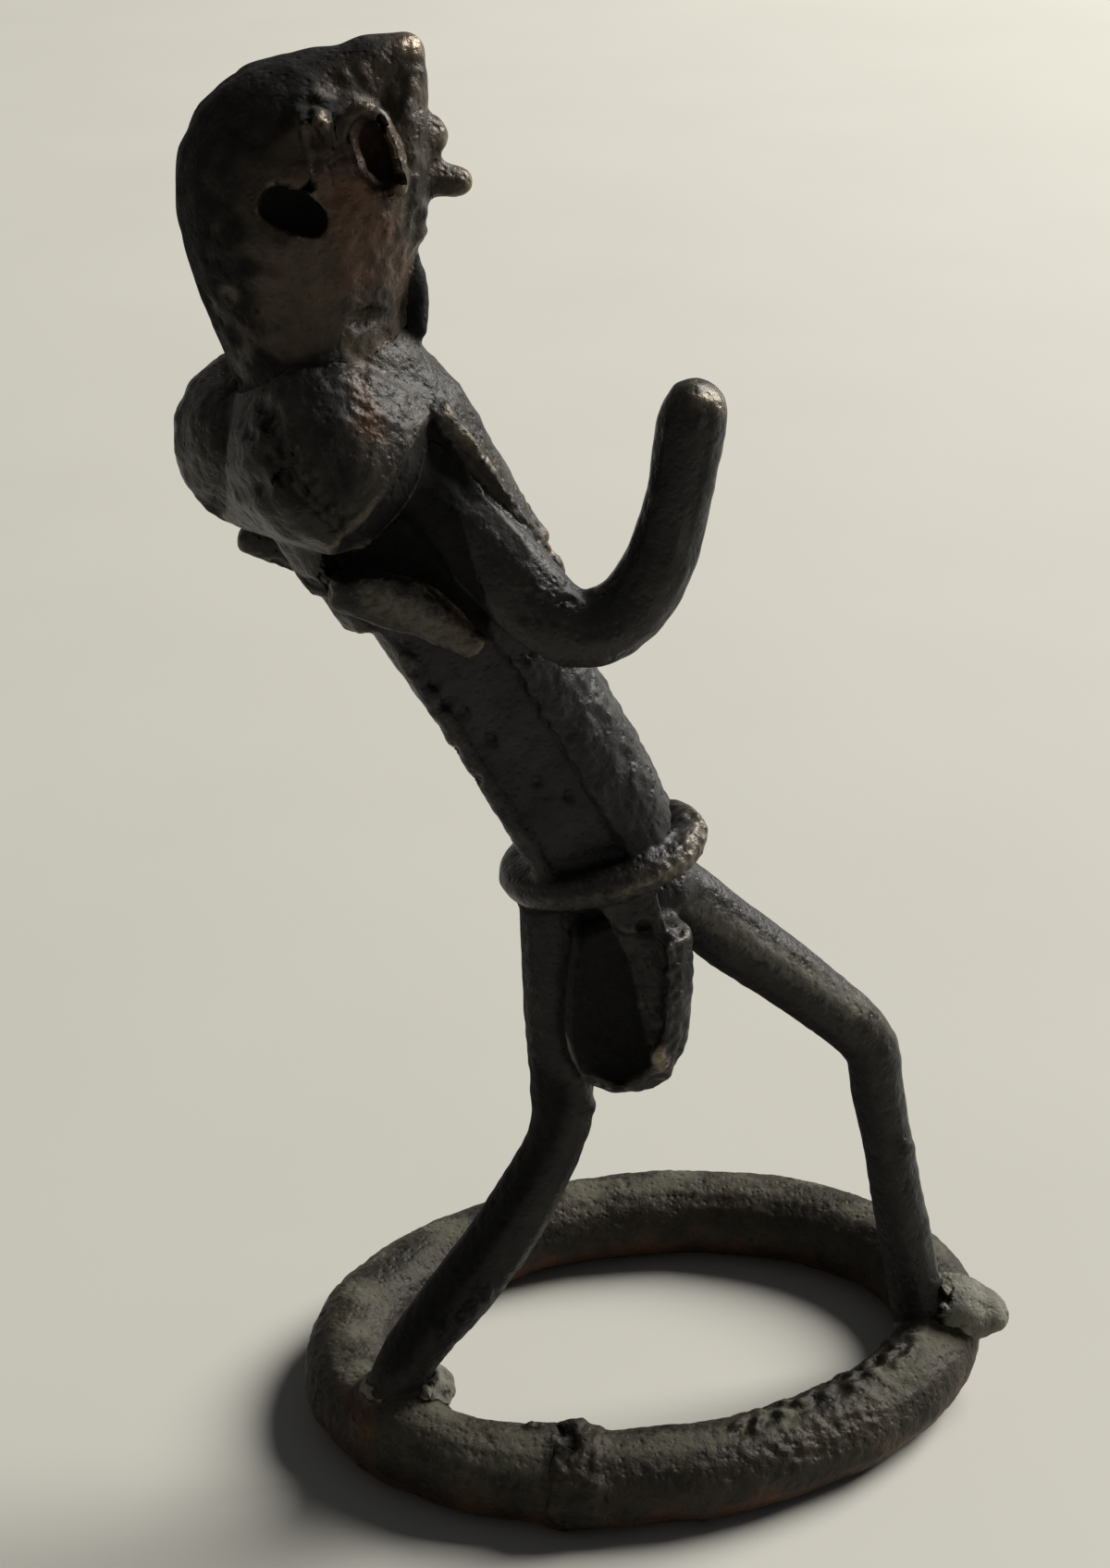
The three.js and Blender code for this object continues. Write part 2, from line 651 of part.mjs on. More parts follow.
const peak = rod([
  station(onHead(headHeight * 0.86, -crownForward * 0.2), peakRadius * 1.7, peakRadius * 2),
  station(onHead(headHeight * 0.89, crownForward), peakRadius * 1.65, peakRadius * 1.8),
  station(onHead(headHeight * 0.955, peakForward * 0.63), peakRadius * 1.2, peakRadius * 1.35),
  station(onHead(headHeight * 0.985, peakForward - peakRadius * 0.65), peakRadius * 0.86, peakRadius * 0.95),
]);
function eyePit(sign, grow, depth) {
  const half = at(eyeHalfWidth + grow, depth, eyeHalfHeight + grow);
  return lens(onHeadSkin(eyeShare, eyeForward, sign), half, eyeTiltDegrees);
}
function earPit(sign) {
  const half = at(earPitHalfLength, eyeDepth, earPitHalfHeight);
  return lens(onHeadSkin(earPitShare, earPitForward, sign), half, earPitTiltDegrees);
}
const pits = [-1, 1].flatMap((sign) => [eyePit(sign, 0, eyeDepth), earPit(sign)]);
const wholeHead = headRod(0).add(faceRod(0)).add(peak);
const capSeat = cut(aboveCapEdge(jointGap), headRod(-capThickness - jointGap));
const neckAndHead = cut(wholeHead, capSeat, ...pits);
const cap = cut(wholeHead.intersect(aboveCapEdge(0)), headRod(-capThickness));
function eyeRim(sign) {
  return cut(eyePit(sign, threadWidth, threadRise), eyePit(sign, 0, eyeDepth * 2), headRoom);
}
function ear(sign) {
  const centre = onHeadSkin(earShare, earForward, sign, 0.5 * threadRise);
  const dent = lens(
    centre.clone().add(at(0, sign * threadRise, 0)),
    at(earHalfWidth - 0.5 * threadWidth, threadRise * 0.7, earHalfHeight - 0.7 * threadWidth),
    14,
  );
  return cut(lens(centre, at(earHalfWidth, threadRise * 1.2, earHalfHeight), 14), dent, headRoom);
}

// Small pieces on the face and throat.
function mouthRodShape(grow) {
  const place = (out, drop) => onHead(headHeight * mouthShare - drop, headHalfDepth + out);
  return rod([
    station(place(-mouthRodRadius, -0.3), mouthRodRadius * 1.25),
    station(place(mouthRodLength * 0.35, 0), mouthRodRadius * 1.05),
    station(place(mouthRodLength - mouthRodRadius, 0.2), mouthRodRadius * 0.92),
  ], { grow, sides: 10 });
}
const mouthRod = cut(mouthRodShape(0), headRoom);
const browPlace = onHead(headHeight * browShare, headHalfDepth);
const browBump = cut(
  lens(browPlace, at(browRise, browHalfWidth, browHalfWidth)),
  headRoom,
  mouthRodShape(jointGap),
);
function beardShape(grow) {
  const level = (drop, forward, full) => station(
    onHead(headHeight * beardShare - drop * beardLength, headHalfDepth - forward),
    beardHalfThickness * (0.4 + 0.6 * full),
    beardHalfWidth * full,
  );
  return rod([level(0, 1.2, 0.6), level(0.5, 0.8, 1), level(1, 1, 1.1)], { grow, sides: 10 });
}
const beard = cut(beardShape(0), headRoom);

// Tunic: a bell round the chest joined to a bolster across the shoulders.
function tunicBell(grow) {
  const middle = (tunicFrontReach - tunicBackReach) / 2;
  const half = (tunicFrontReach + tunicBackReach) / 2;
  return rod([
    station(onChest(-tunicBelowChest, middle + 0.8), half * 0.92, tunicHalfWidth * 0.84),
    station(onChest(chestLength * 0.11, middle), half, tunicHalfWidth),
    station(onChest(chestLength * 0.38, middle - 0.4), half, tunicHalfWidth * 1.08),
    station(onChest(chestLength * 0.64, middle - 0.4), half * 0.94, tunicHalfWidth * 1.06),
    station(onChest(chestLength * 0.84, 0.2), neckRadius * 1.1, neckRadius),
    station(onChest(chestLength * 0.98, 0), neckRadius * 0.94, neckRadius * 0.9),
  ], { grow, sides: 18, bulge: [0.25, 0.1] });
}
const shoulderHeight = chestLength - shoulderBelowNeck;
const hemHeight = shoulderHeight - hemBelowShoulder;
function shoulders() {
  const place = (sign) => onChest(
    shoulderHeight,
    -shoulderBack - (sign * shoulderTwist) / 2,
    sign * shoulderHalfSpan,
  );
  return rod([
    station(place(-1), shoulderRadius),
    station(onChest(shoulderHeight, -shoulderBack), shoulderRadius * 0.95),
    station(place(1), shoulderRadius * 0.98),
  ], { side: onChest(1, 0).sub(onChest(0, 0)), sides: 16, steps: 3, bulge: [0.72, 0.72] });
}

// The far side is thrown back with its shoulder.
function thrownBack(sign) {
  return sign > 0 ? -shoulderTwist * 0.7 : 0;
}

// Everything below the shoulder's hem on one side, so that the arm comes out of a hollow.
function armhole(sign, depth) {
  const back = armholeBackForward + thrownBack(sign);
  const below = -chestLength * 0.3;
  const outline = new THREE.Shape();
  outline.moveTo(armholeTopForward, chestLength * 0.72);
  outline.quadraticCurveTo(armholeTopForward * 0.54, chestLength * 0.44, back, hemHeight);
  outline.lineTo(back + armholeSlant / 9, hemHeight * 0.7);
  outline.lineTo(back + armholeSlant, below);
  outline.lineTo(tunicFrontReach - armholeInset, below);
  outline.lineTo(tunicFrontReach - armholeInset * 1.286, -armholeFrontDrop);
  outline.closePath();
  const cutter = new THREE.ExtrudeGeometry(outline, { depth: beyond, bevelEnabled: false, curveSegments: 8 });
  cutter.rotateX(Math.PI / 2);
  const wall = tunicHalfWidth - depth;
  cutter.translate(0, sign < 0 ? -wall : wall + beyond, 0);
  return solid(cutter.applyMatrix4(chestFrame));
}
function frontFlap(sign, grow) {
  const out = sign * tunicHalfWidth * 0.66;
  const level = (share, forward, full, wide) => station(
    onChest(chestLength * share, forward * tunicFrontReach, out * full),
    flapHalfWidth * wide,
    flapHalfThickness,
  );
  return rod([
    level(0.66, 0.67, 1.02, 0.7),
    level(0.43, 0.71, 1.08, 1),
    level(0.17, 0.81, 1, 1),
    level(-0.066, 0.92, 0.85, 0.9),
  ], { grow, sides: 10, bulge: [0.6, 0.6] });
}
function leafFlap(sign, grow) {
  const out = tunicHalfWidth + leafHalfThickness / 2;
  const far = sign > 0 ? 1 : 0;
  const root = hemHeight - leafBelowHem;
  const start = armholeBackForward - leafBehindArmhole + thrownBack(sign);
  const level = (drop, reach, tuck, full, thick, lift = 0, back = 0) => station(
    onChest(
      root - drop * leafDrop + lift,
      start + reach * leafReach - back,
      sign * (out - tuck * leafTuck),
    ),
    leafHalfWidth * full,
    leafHalfThickness * thick,
  );
  return rod([
    level(0, 0, 1, 0.7, 1, far * farLeafLift, far * farLeafBack),
    level(0.175, 0.338, 0, 1, 1),
    level(0.475, 0.704, 0, 1, 1),
    level(1, 1, 0.5, 0.5, 0.8),
  ], { grow, sides: 10, bulge: [0.4, 0.6] });
}
function backBlock(low, high) {
  return block(at(-beyond, -beyond, low), at(backHemForward, beyond, high), chestFrame);
}
const tunicBackHem = cut(
  tunicBell(-hemThickness).intersect(backBlock(tunicBackRise - hemDrop - jointGap, tunicBackRise - jointGap)),
  torsoRoom,
  armhole(-1, armholeDepth - 1.4),
  armhole(1, armholeDepth - 1.4),
);
const tunic = cut(
  tunicBell(0).add(shoulders()),
  backBlock(-beyond, tunicBackRise),
  torsoRoom,
  headRoom,
  panelRoom,
  nearArmRoom,
  farArmRoom,
  beardShape(jointGap),
  ...[-1, 1].flatMap((sign) => [
    armhole(sign, armholeDepth),
    frontFlap(sign, jointGap),
    leafFlap(sign, jointGap),
  ]),
);

// Every piece under its own name, with its finish.
const pieces = [
  ['base_ring', baseRing, darkPatina],
  ['ring_joint_patch', ringJointPatch(), paleCrust],
  ['rear_leg', rearLeg, darkPatina],
  ['front_leg', frontLeg, wornBrown],
  ['rear_foot', rearFoot(), paleCrust],
  ['front_foot', frontFoot(), paleCrust],
  ['hips', hips, darkPatina],
  ['torso', torso, darkPatina],
  ['back_strip', backStrip(), wornBrown],
  ['chest_panel', chestPanel, wornBrown],
  ['waist_belt', waistBelt, darkPatina],
  ['pouch', pouch, darkPatina],
  ['pouch_web', pouchWeb(), wornBrown],
  ['tunic', tunic, darkPatina],
  ['tunic_back_hem', tunicBackHem, darkPatina],
  ['near_front_flap', cut(frontFlap(-1, 0), torsoRoom, nearArmRoom), wornBrown],
  ['far_front_flap', cut(frontFlap(1, 0), torsoRoom, farArmRoom), wornBrown],
  ['near_leaf_flap', cut(leafFlap(-1, 0), torsoRoom, nearArmRoom), wornBrown],
  ['far_leaf_flap', cut(leafFlap(1, 0), torsoRoom, farArmRoom), wornBrown],
  ['near_arm', nearArm, darkPatina],
  ['far_arm', farArm, darkPatina],
  ['neck_and_head', neckAndHead, wornBrown],
  ['cap', cap, darkPatina],
  ['near_eye_rim', eyeRim(-1), wornBrown],
  ['far_eye_rim', eyeRim(1), wornBrown],
  ['near_ear', ear(-1), wornBrown],
  ['far_ear', ear(1), wornBrown],
  ['mouth_rod', mouthRod, wornBrown],
  ['brow_bump', browBump, wornBrown],
  ['beard', beard, darkPatina],
];

const figurine = new THREE.Group();
for (const [name, piece, finish] of pieces) {
  const made = piece.getMesh();
  const geometry = new THREE.BufferGeometry();
  geometry.setAttribute('position', new THREE.BufferAttribute(made.vertProperties, 3));
  geometry.setIndex(new THREE.BufferAttribute(made.triVerts, 1));
  const mesh = new THREE.Mesh(geometry, new THREE.MeshStandardMaterial(finish));
  mesh.name = name;
  figurine.add(mesh);
}

// The origin is under the middle of the whole object, on the surface that it stands on.
const extent = new THREE.Box3().setFromObject(figurine);
const middle = extent.getCenter(new THREE.Vector3());
figurine.position.set(-middle.x, -middle.y, -extent.min.z);

export default figurine;
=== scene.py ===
import math

import bmesh
import bpy
import numpy as np
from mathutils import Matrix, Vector


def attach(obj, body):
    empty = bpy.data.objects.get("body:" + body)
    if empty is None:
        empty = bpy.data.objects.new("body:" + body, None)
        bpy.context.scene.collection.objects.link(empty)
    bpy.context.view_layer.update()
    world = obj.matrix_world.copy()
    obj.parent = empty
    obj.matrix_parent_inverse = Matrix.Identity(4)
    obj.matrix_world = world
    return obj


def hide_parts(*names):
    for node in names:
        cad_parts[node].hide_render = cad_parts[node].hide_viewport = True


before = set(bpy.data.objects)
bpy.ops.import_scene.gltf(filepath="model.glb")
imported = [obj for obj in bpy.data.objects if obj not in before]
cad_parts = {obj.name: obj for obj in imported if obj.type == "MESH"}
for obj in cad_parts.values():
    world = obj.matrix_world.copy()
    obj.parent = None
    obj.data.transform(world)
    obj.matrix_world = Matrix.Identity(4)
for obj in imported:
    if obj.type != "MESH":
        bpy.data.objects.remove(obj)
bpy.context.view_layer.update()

scene = bpy.context.scene
scene.view_settings.view_transform = "Standard"

# Camera: it stands a little behind the figure's near side and looks down at the middle of the legs.
# The picture is upright, 1200 by 1695, and its long side takes the whole 36 mm of the sensor.
aim = Vector((-0.005253, -0.000022, 0.05726))
camera_turn = math.radians(-10)
camera_height = math.radians(25)
camera_distance = 0.219
picture_size = (1200, 1695)
picture_focus = 3000
camera_back = Vector((
    math.sin(camera_turn) * math.cos(camera_height),
    -math.cos(camera_turn) * math.cos(camera_height),
    math.sin(camera_height),
))
lens_data = bpy.data.cameras.new("picture_camera")
lens_data.sensor_width = 36
lens_data.lens = 36 * picture_focus / picture_size[1]
lens_data.clip_start = 0.005
camera = bpy.data.objects.new("picture_camera", lens_data)
camera.location = aim + camera_back * camera_distance
camera.rotation_euler = camera_back.to_track_quat("Z", "Y").to_euler()
scene.collection.objects.link(camera)
scene.camera = camera

# Light: one wide round window high on the right and a little behind, and a weak pale room all round.
# The room lights the metal only a little. What the metal mirrors of it is what the camera sees of it.
window_place = Vector((1.65, 0.7, 1.35))
window_size = 1.4
window_power = 88
window_colour = (1.0, 0.985, 0.95)
window_data = bpy.data.lights.new("window_light", "AREA")
window_data.shape = "DISK"
window_data.size = window_size
window_data.energy = window_power
window_data.color = window_colour
window = bpy.data.objects.new("window_light", window_data)
window.location = window_place
window.rotation_euler = (window_place - aim).to_track_quat("Z", "Y").to_euler()
scene.collection.objects.link(window)

room_light_colour = (0.86, 0.9, 1.0, 1)
room_light_strength = 0.06
room_seen_colour = (0.22, 0.215, 0.2, 1)
room = bpy.data.worlds.new("pale_room")
room.use_nodes = True
scene.world = room
room_nodes = room.node_tree.nodes
room_nodes.clear()
room_links = room.node_tree.links
room_out = room_nodes.new("ShaderNodeOutputWorld")
room_light = room_nodes.new("ShaderNodeBackground")
room_light.inputs["Color"].default_value = room_light_colour
room_light.inputs["Strength"].default_value = room_light_strength
room_seen = room_nodes.new("ShaderNodeBackground")
room_seen.inputs["Color"].default_value = room_seen_colour
room_rays = room_nodes.new("ShaderNodeLightPath")
room_mix = room_nodes.new("ShaderNodeMixShader")
room_shown = room_rays.outputs["Is Camera Ray"]
for ray in ("Is Glossy Ray", "Is Transmission Ray"):
    either = room_nodes.new("ShaderNodeMath")
    either.operation = "MAXIMUM"
    room_links.new(room_shown, either.inputs[0])
    room_links.new(room_rays.outputs[ray], either.inputs[1])
    room_shown = either.outputs[0]
room_links.new(room_shown, room_mix.inputs[0])
room_links.new(room_light.outputs[0], room_mix.inputs[1])
room_links.new(room_seen.outputs[0], room_mix.inputs[2])
room_links.new(room_mix.outputs[0], room_out.inputs["Surface"])

# Floor: a wide pale table top, matt, its tone clouded a little.
# It's a flat sheet 3.2 m wide, so from the picture's camera its edge isn't seen.
floor_half = 1.6
floor_tones = (0.535, 0.52, 0.462, 1), (0.58, 0.565, 0.505, 1)
floor_square = ((-1, -1), (1, -1), (1, 1), (-1, 1))
floor_corners = [(across * floor_half, along * floor_half, 0) for across, along in floor_square]
floor_mesh = bpy.data.meshes.new("table_top")
floor_mesh.from_pydata(floor_corners, [], [(0, 1, 2, 3)])
floor = bpy.data.objects.new("table_top", floor_mesh)
scene.collection.objects.link(floor)
floor_paint = bpy.data.materials.new("table_paint")
floor_paint.use_nodes = True
floor_nodes = floor_paint.node_tree.nodes
floor_links = floor_paint.node_tree.links
floor_shader = floor_nodes["Principled BSDF"]
floor_shader.inputs["Roughness"].default_value = 0.85
floor_where = floor_nodes.new("ShaderNodeTexCoord")
floor_cloud = floor_nodes.new("ShaderNodeTexNoise")
floor_cloud.inputs["Scale"].default_value = 18
floor_cloud.inputs["Detail"].default_value = 5
floor_tone = floor_nodes.new("ShaderNodeValToRGB")
for stop, tone in zip(floor_tone.color_ramp.elements, floor_tones):
    stop.color = tone
floor_links.new(floor_where.outputs["Object"], floor_cloud.inputs["Vector"])
floor_links.new(floor_cloud.outputs["Fac"], floor_tone.inputs["Fac"])
floor_links.new(floor_tone.outputs["Color"], floor_shader.inputs["Base Color"])
floor_mesh.materials.append(floor_paint)

# Base ring: an oval of round rod, rolled in wax, with a rough edge inside it where the feet were pressed on.
# Cast brass, dark on its sides and red-brown low down, with a thin pale grey-green crust on its top.
# Painted shade darkens its underside. Its left end is darker, and its near side paler.
# Every piece was pressed on to the next in warm wax, so one skin runs over the whole figure.
MM = 0.001
wax_gap = 0.3


def solids(names):
    """The named solids as one mesh in millimetres, each point of it kept once."""
    shell = bmesh.new()
    for name in names:
        shell.from_mesh(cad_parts[name].data)
    bmesh.ops.remove_doubles(shell, verts=shell.verts, dist=1e-7)
    bmesh.ops.scale(shell, vec=(1 / MM, 1 / MM, 1 / MM), verts=shell.verts)
    mesh = bpy.data.meshes.new("solids")
    shell.to_mesh(mesh)
    shell.free()
    return mesh


def squares_mesh(points, faces):
    """A smooth-shaded mesh of the given points and four-cornered faces."""
    mesh = bpy.data.meshes.new("squares")
    mesh.vertices.add(len(points))
    mesh.vertices.foreach_set("co", points.astype(np.float32).ravel())
    mesh.loops.add(faces.size)
    mesh.loops.foreach_set("vertex_index", faces.astype(np.int32).ravel())
    mesh.polygons.add(len(faces))
    mesh.polygons.foreach_set("loop_start", np.arange(0, faces.size, 4, dtype=np.int32))
    mesh.update(calc_edges=True)
    mesh.polygons.foreach_set("use_smooth", np.ones(len(faces), dtype=bool))
    return mesh


def smooth_step(low, high, values):
    """Nought up to low and one from high, on the curve 3t*t - 2t*t*t between them."""
    t = np.clip((values - low) / (high - low), 0, 1)
    return t * t * (3 - 2 * t)


class WaxSkin:
    """A closed skin of even squares in millimetres, held as arrays of points, edges and faces.

    It starts as a mesh covered in squares. Each working of the wax then moves every point at once.
    """

    def __init__(self, mesh, square):
        self.square = square
        draft = bpy.data.objects.new("draft", mesh)
        scene.collection.objects.link(draft)
        cover = draft.modifiers.new("squares", "REMESH")
        cover.mode = "VOXEL"
        cover.voxel_size = square
        fine = bpy.data.meshes.new_from_object(draft.evaluated_get(bpy.context.evaluated_depsgraph_get()))
        bpy.data.objects.remove(draft)
        self.points = np.empty(len(fine.vertices) * 3)
        fine.vertices.foreach_get("co", self.points)
        self.points = self.points.reshape(-1, 3)
        self.edges = np.empty(len(fine.edges) * 2, dtype=np.int64)
        fine.edges.foreach_get("vertices", self.edges)
        self.edges = self.edges.reshape(-1, 2)
        self.faces = np.empty(len(fine.polygons) * 4, dtype=np.int64)
        fine.polygons.foreach_get("vertices", self.faces)
        self.faces = self.faces.reshape(-1, 4)
        bpy.data.meshes.remove(fine)
        self.links = np.bincount(self.edges.ravel(), minlength=len(self.points))

    def blurred(self, values, width):
        """Each value moved half way to the mean of its neighbours, (2 * width / square) ** 2 times.

        That many steps spread it over the width, which is in millimetres.
        """
        columns = values.reshape(len(values), -1)
        a, b = self.edges.T
        for _ in range(math.ceil((2 * width / self.square) ** 2)):
            total = np.stack([
                np.bincount(a, column[b], len(columns)) + np.bincount(b, column[a], len(columns))
                for column in columns.T
            ], axis=1)
            columns = 0.5 * columns + 0.5 * total / self.links[:, None]
        return columns.reshape(values.shape)

    def normals(self):
        """The mean direction of the squares round each point, from the cross of each square's diagonals."""
        corner = self.points[self.faces]
        facing = np.cross(corner[:, 2] - corner[:, 0], corner[:, 3] - corner[:, 1])
        total = np.stack([
            sum(np.bincount(self.faces[:, k], facing[:, axis], len(self.points)) for k in range(4))
            for axis in range(3)
        ], axis=1)
        return total / (np.linalg.norm(total, axis=1)[:, None] + 1e-12)

    def push(self, height):
        """Every point moved out along the skin's own direction, or in where height is below nought."""
        self.points = self.points + self.normals() * np.broadcast_to(height, len(self.points))[:, None]

    def melt(self, share, width):
        """Every point moved by its share towards the skin smoothed over the width in mm."""
        step = self.blurred(self.points, width) - self.points
        self.points = self.points + step * np.clip(share, 0, 1)[:, None]

    def nearest(self, mesh):
        """The nearest place to each point on a mesh, found by wrapping a copy of the points on to it."""
        target = bpy.data.objects.new("target", mesh)
        cloud = bpy.data.meshes.new("cloud")
        cloud.vertices.add(len(self.points))
        cloud.vertices.foreach_set("co", self.points.astype(np.float32).ravel())
        copy = bpy.data.objects.new("cloud", cloud)
        for item in (target, copy):
            scene.collection.objects.link(item)
        wrap = copy.modifiers.new("wrap", "SHRINKWRAP")
        wrap.target = target
        wrap.wrap_method = "NEAREST_SURFACEPOINT"
        placed = copy.evaluated_get(bpy.context.evaluated_depsgraph_get()).data
        reached = np.empty(len(placed.vertices) * 3)
        placed.vertices.foreach_get("co", reached)
        for item in (target, copy):
            bpy.data.objects.remove(item)
        bpy.data.meshes.remove(cloud)
        return reached.reshape(-1, 3)

    def on(self, *names):
        """One on the named pieces and up to 0.45 mm from them, falling to nought at 1.1 mm."""
        mesh = solids(names)
        away = np.linalg.norm(self.nearest(mesh) - self.points, axis=1)
        bpy.data.meshes.remove(mesh)
        return 1 - smooth_step(0.45, 1.1, away)

    def lumps(self, size, seed, waves=28):
        """Soft hills between about -1 and 1: a sum of waves about size long, each with its own direction."""
        draw = np.random.default_rng(seed)
        ways = draw.normal(size=(waves, 3))
        ways /= np.linalg.norm(ways, axis=1)[:, None]
        ways *= 2 * np.pi / (size * draw.uniform(0.75, 1.5, (waves, 1)))
        waved = np.cos(self.points @ ways.T + draw.uniform(0, 2 * np.pi, waves))
        return waved.sum(axis=1) / (waves * 1.6) ** 0.5

    def pits(self, size, share, seed):
        """Nought to one: the tops of soft hills, so that about a share of the skin is pitted."""
        hills = self.lumps(size, seed)
        edge = np.quantile(hills, 1 - share)
        return np.clip((hills - edge) / (hills.max() - edge + 1e-9), 0, 1) ** 0.7

    def seen(self):
        """Each point's place in the picture, in pixels, and how squarely the skin there faces the camera."""
        turn = np.array(camera.rotation_euler.to_matrix())
        offset = self.points - np.array(camera.location) / MM
        across, up, back = (offset @ turn).T
        self.place = np.stack([
            picture_size[0] / 2 - picture_focus * across / back,
            picture_size[1] / 2 + picture_focus * up / back,
        ], axis=1)
        toward = (self.normals() * -offset / np.linalg.norm(offset, axis=1)[:, None]).sum(axis=1)
        self.shown = np.clip(toward * 4 + 0.3, 0, 1)

    def drawn(self, line, width):
        """One along a line given in picture pixels, falling away over its width, on the side in view."""
        line = np.array(line, float)
        if len(line) == 1:
            line = np.repeat(line, 2, axis=0)
        near = np.full(len(self.place), np.inf)
        for start, end in zip(line[:-1], line[1:]):
            run = end - start
            share = np.clip(((self.place - start) @ run) / max(run @ run, 1e-9), 0, 1)
            near = np.minimum(near, np.linalg.norm(self.place - start - share[:, None] * run, axis=1))
        return np.exp(-(near / width) ** 2) * self.shown

    def inside(self, outline, edge):
        """One inside an outline given in picture pixels, fading over its edge, on the side in view."""
        outline = np.array(outline, float)
        x, y = self.place.T
        within = np.zeros(len(x), dtype=bool)
        near = np.full(len(x), np.inf)
        for start, end in zip(outline, np.roll(outline, -1, axis=0)):
            rise = end[1] - start[1]
            crossed = (start[1] > y) != (end[1] > y)
            edge_x = (end[0] - start[0]) * (y - start[1]) / (rise if rise else 1e-9) + start[0]
            within ^= crossed & (x < edge_x)
            run = end - start
            share = np.clip(((self.place - start) @ run) / (run @ run), 0, 1)
            near = np.minimum(near, np.linalg.norm(self.place - start - share[:, None] * run, axis=1))
        return smooth_step(-edge, edge, np.where(within, near, -near)) * self.shown


every_node = list(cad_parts)
wax_closing = 0.42
wax_swell = 0.13
coarse_square = 0.22
fine_square = 0.2
wax_softness = 0.2
rub_span = 0.8
rub_height = 0.4
figure = WaxSkin(solids(every_node), coarse_square)
figure.push(wax_closing)
figure = WaxSkin(squares_mesh(figure.points, figure.faces), fine_square)
figure.points = figure.blurred(figure.points, wax_softness)
figure.push(wax_swell - wax_closing)
figure.points = figure.blurred(figure.points, wax_softness)
figure.seen()
proud = ((figure.points - figure.blurred(figure.points, rub_span)) * figure.normals()).sum(axis=1)
proud = np.clip(figure.blurred(proud, wax_softness) / rub_height, -1, 1)
# The gold and crust arrays also carry painted highlights, and the soot array carries painted shade.
crust_and_highlight, gold_and_highlight, rust = np.zeros((3, len(figure.points)))
# Darker in hollows: patina there, and painted shade like ambient occlusion.
soot_and_shade = np.clip(-0.5 * proud, 0, 0.22)
hand_hills = figure.lumps(9, 1)
rolled_hills = figure.lumps(2.6, 2)
grain_hills = figure.lumps(1.0, 3)
fine_hills = figure.lumps(0.6, 4)


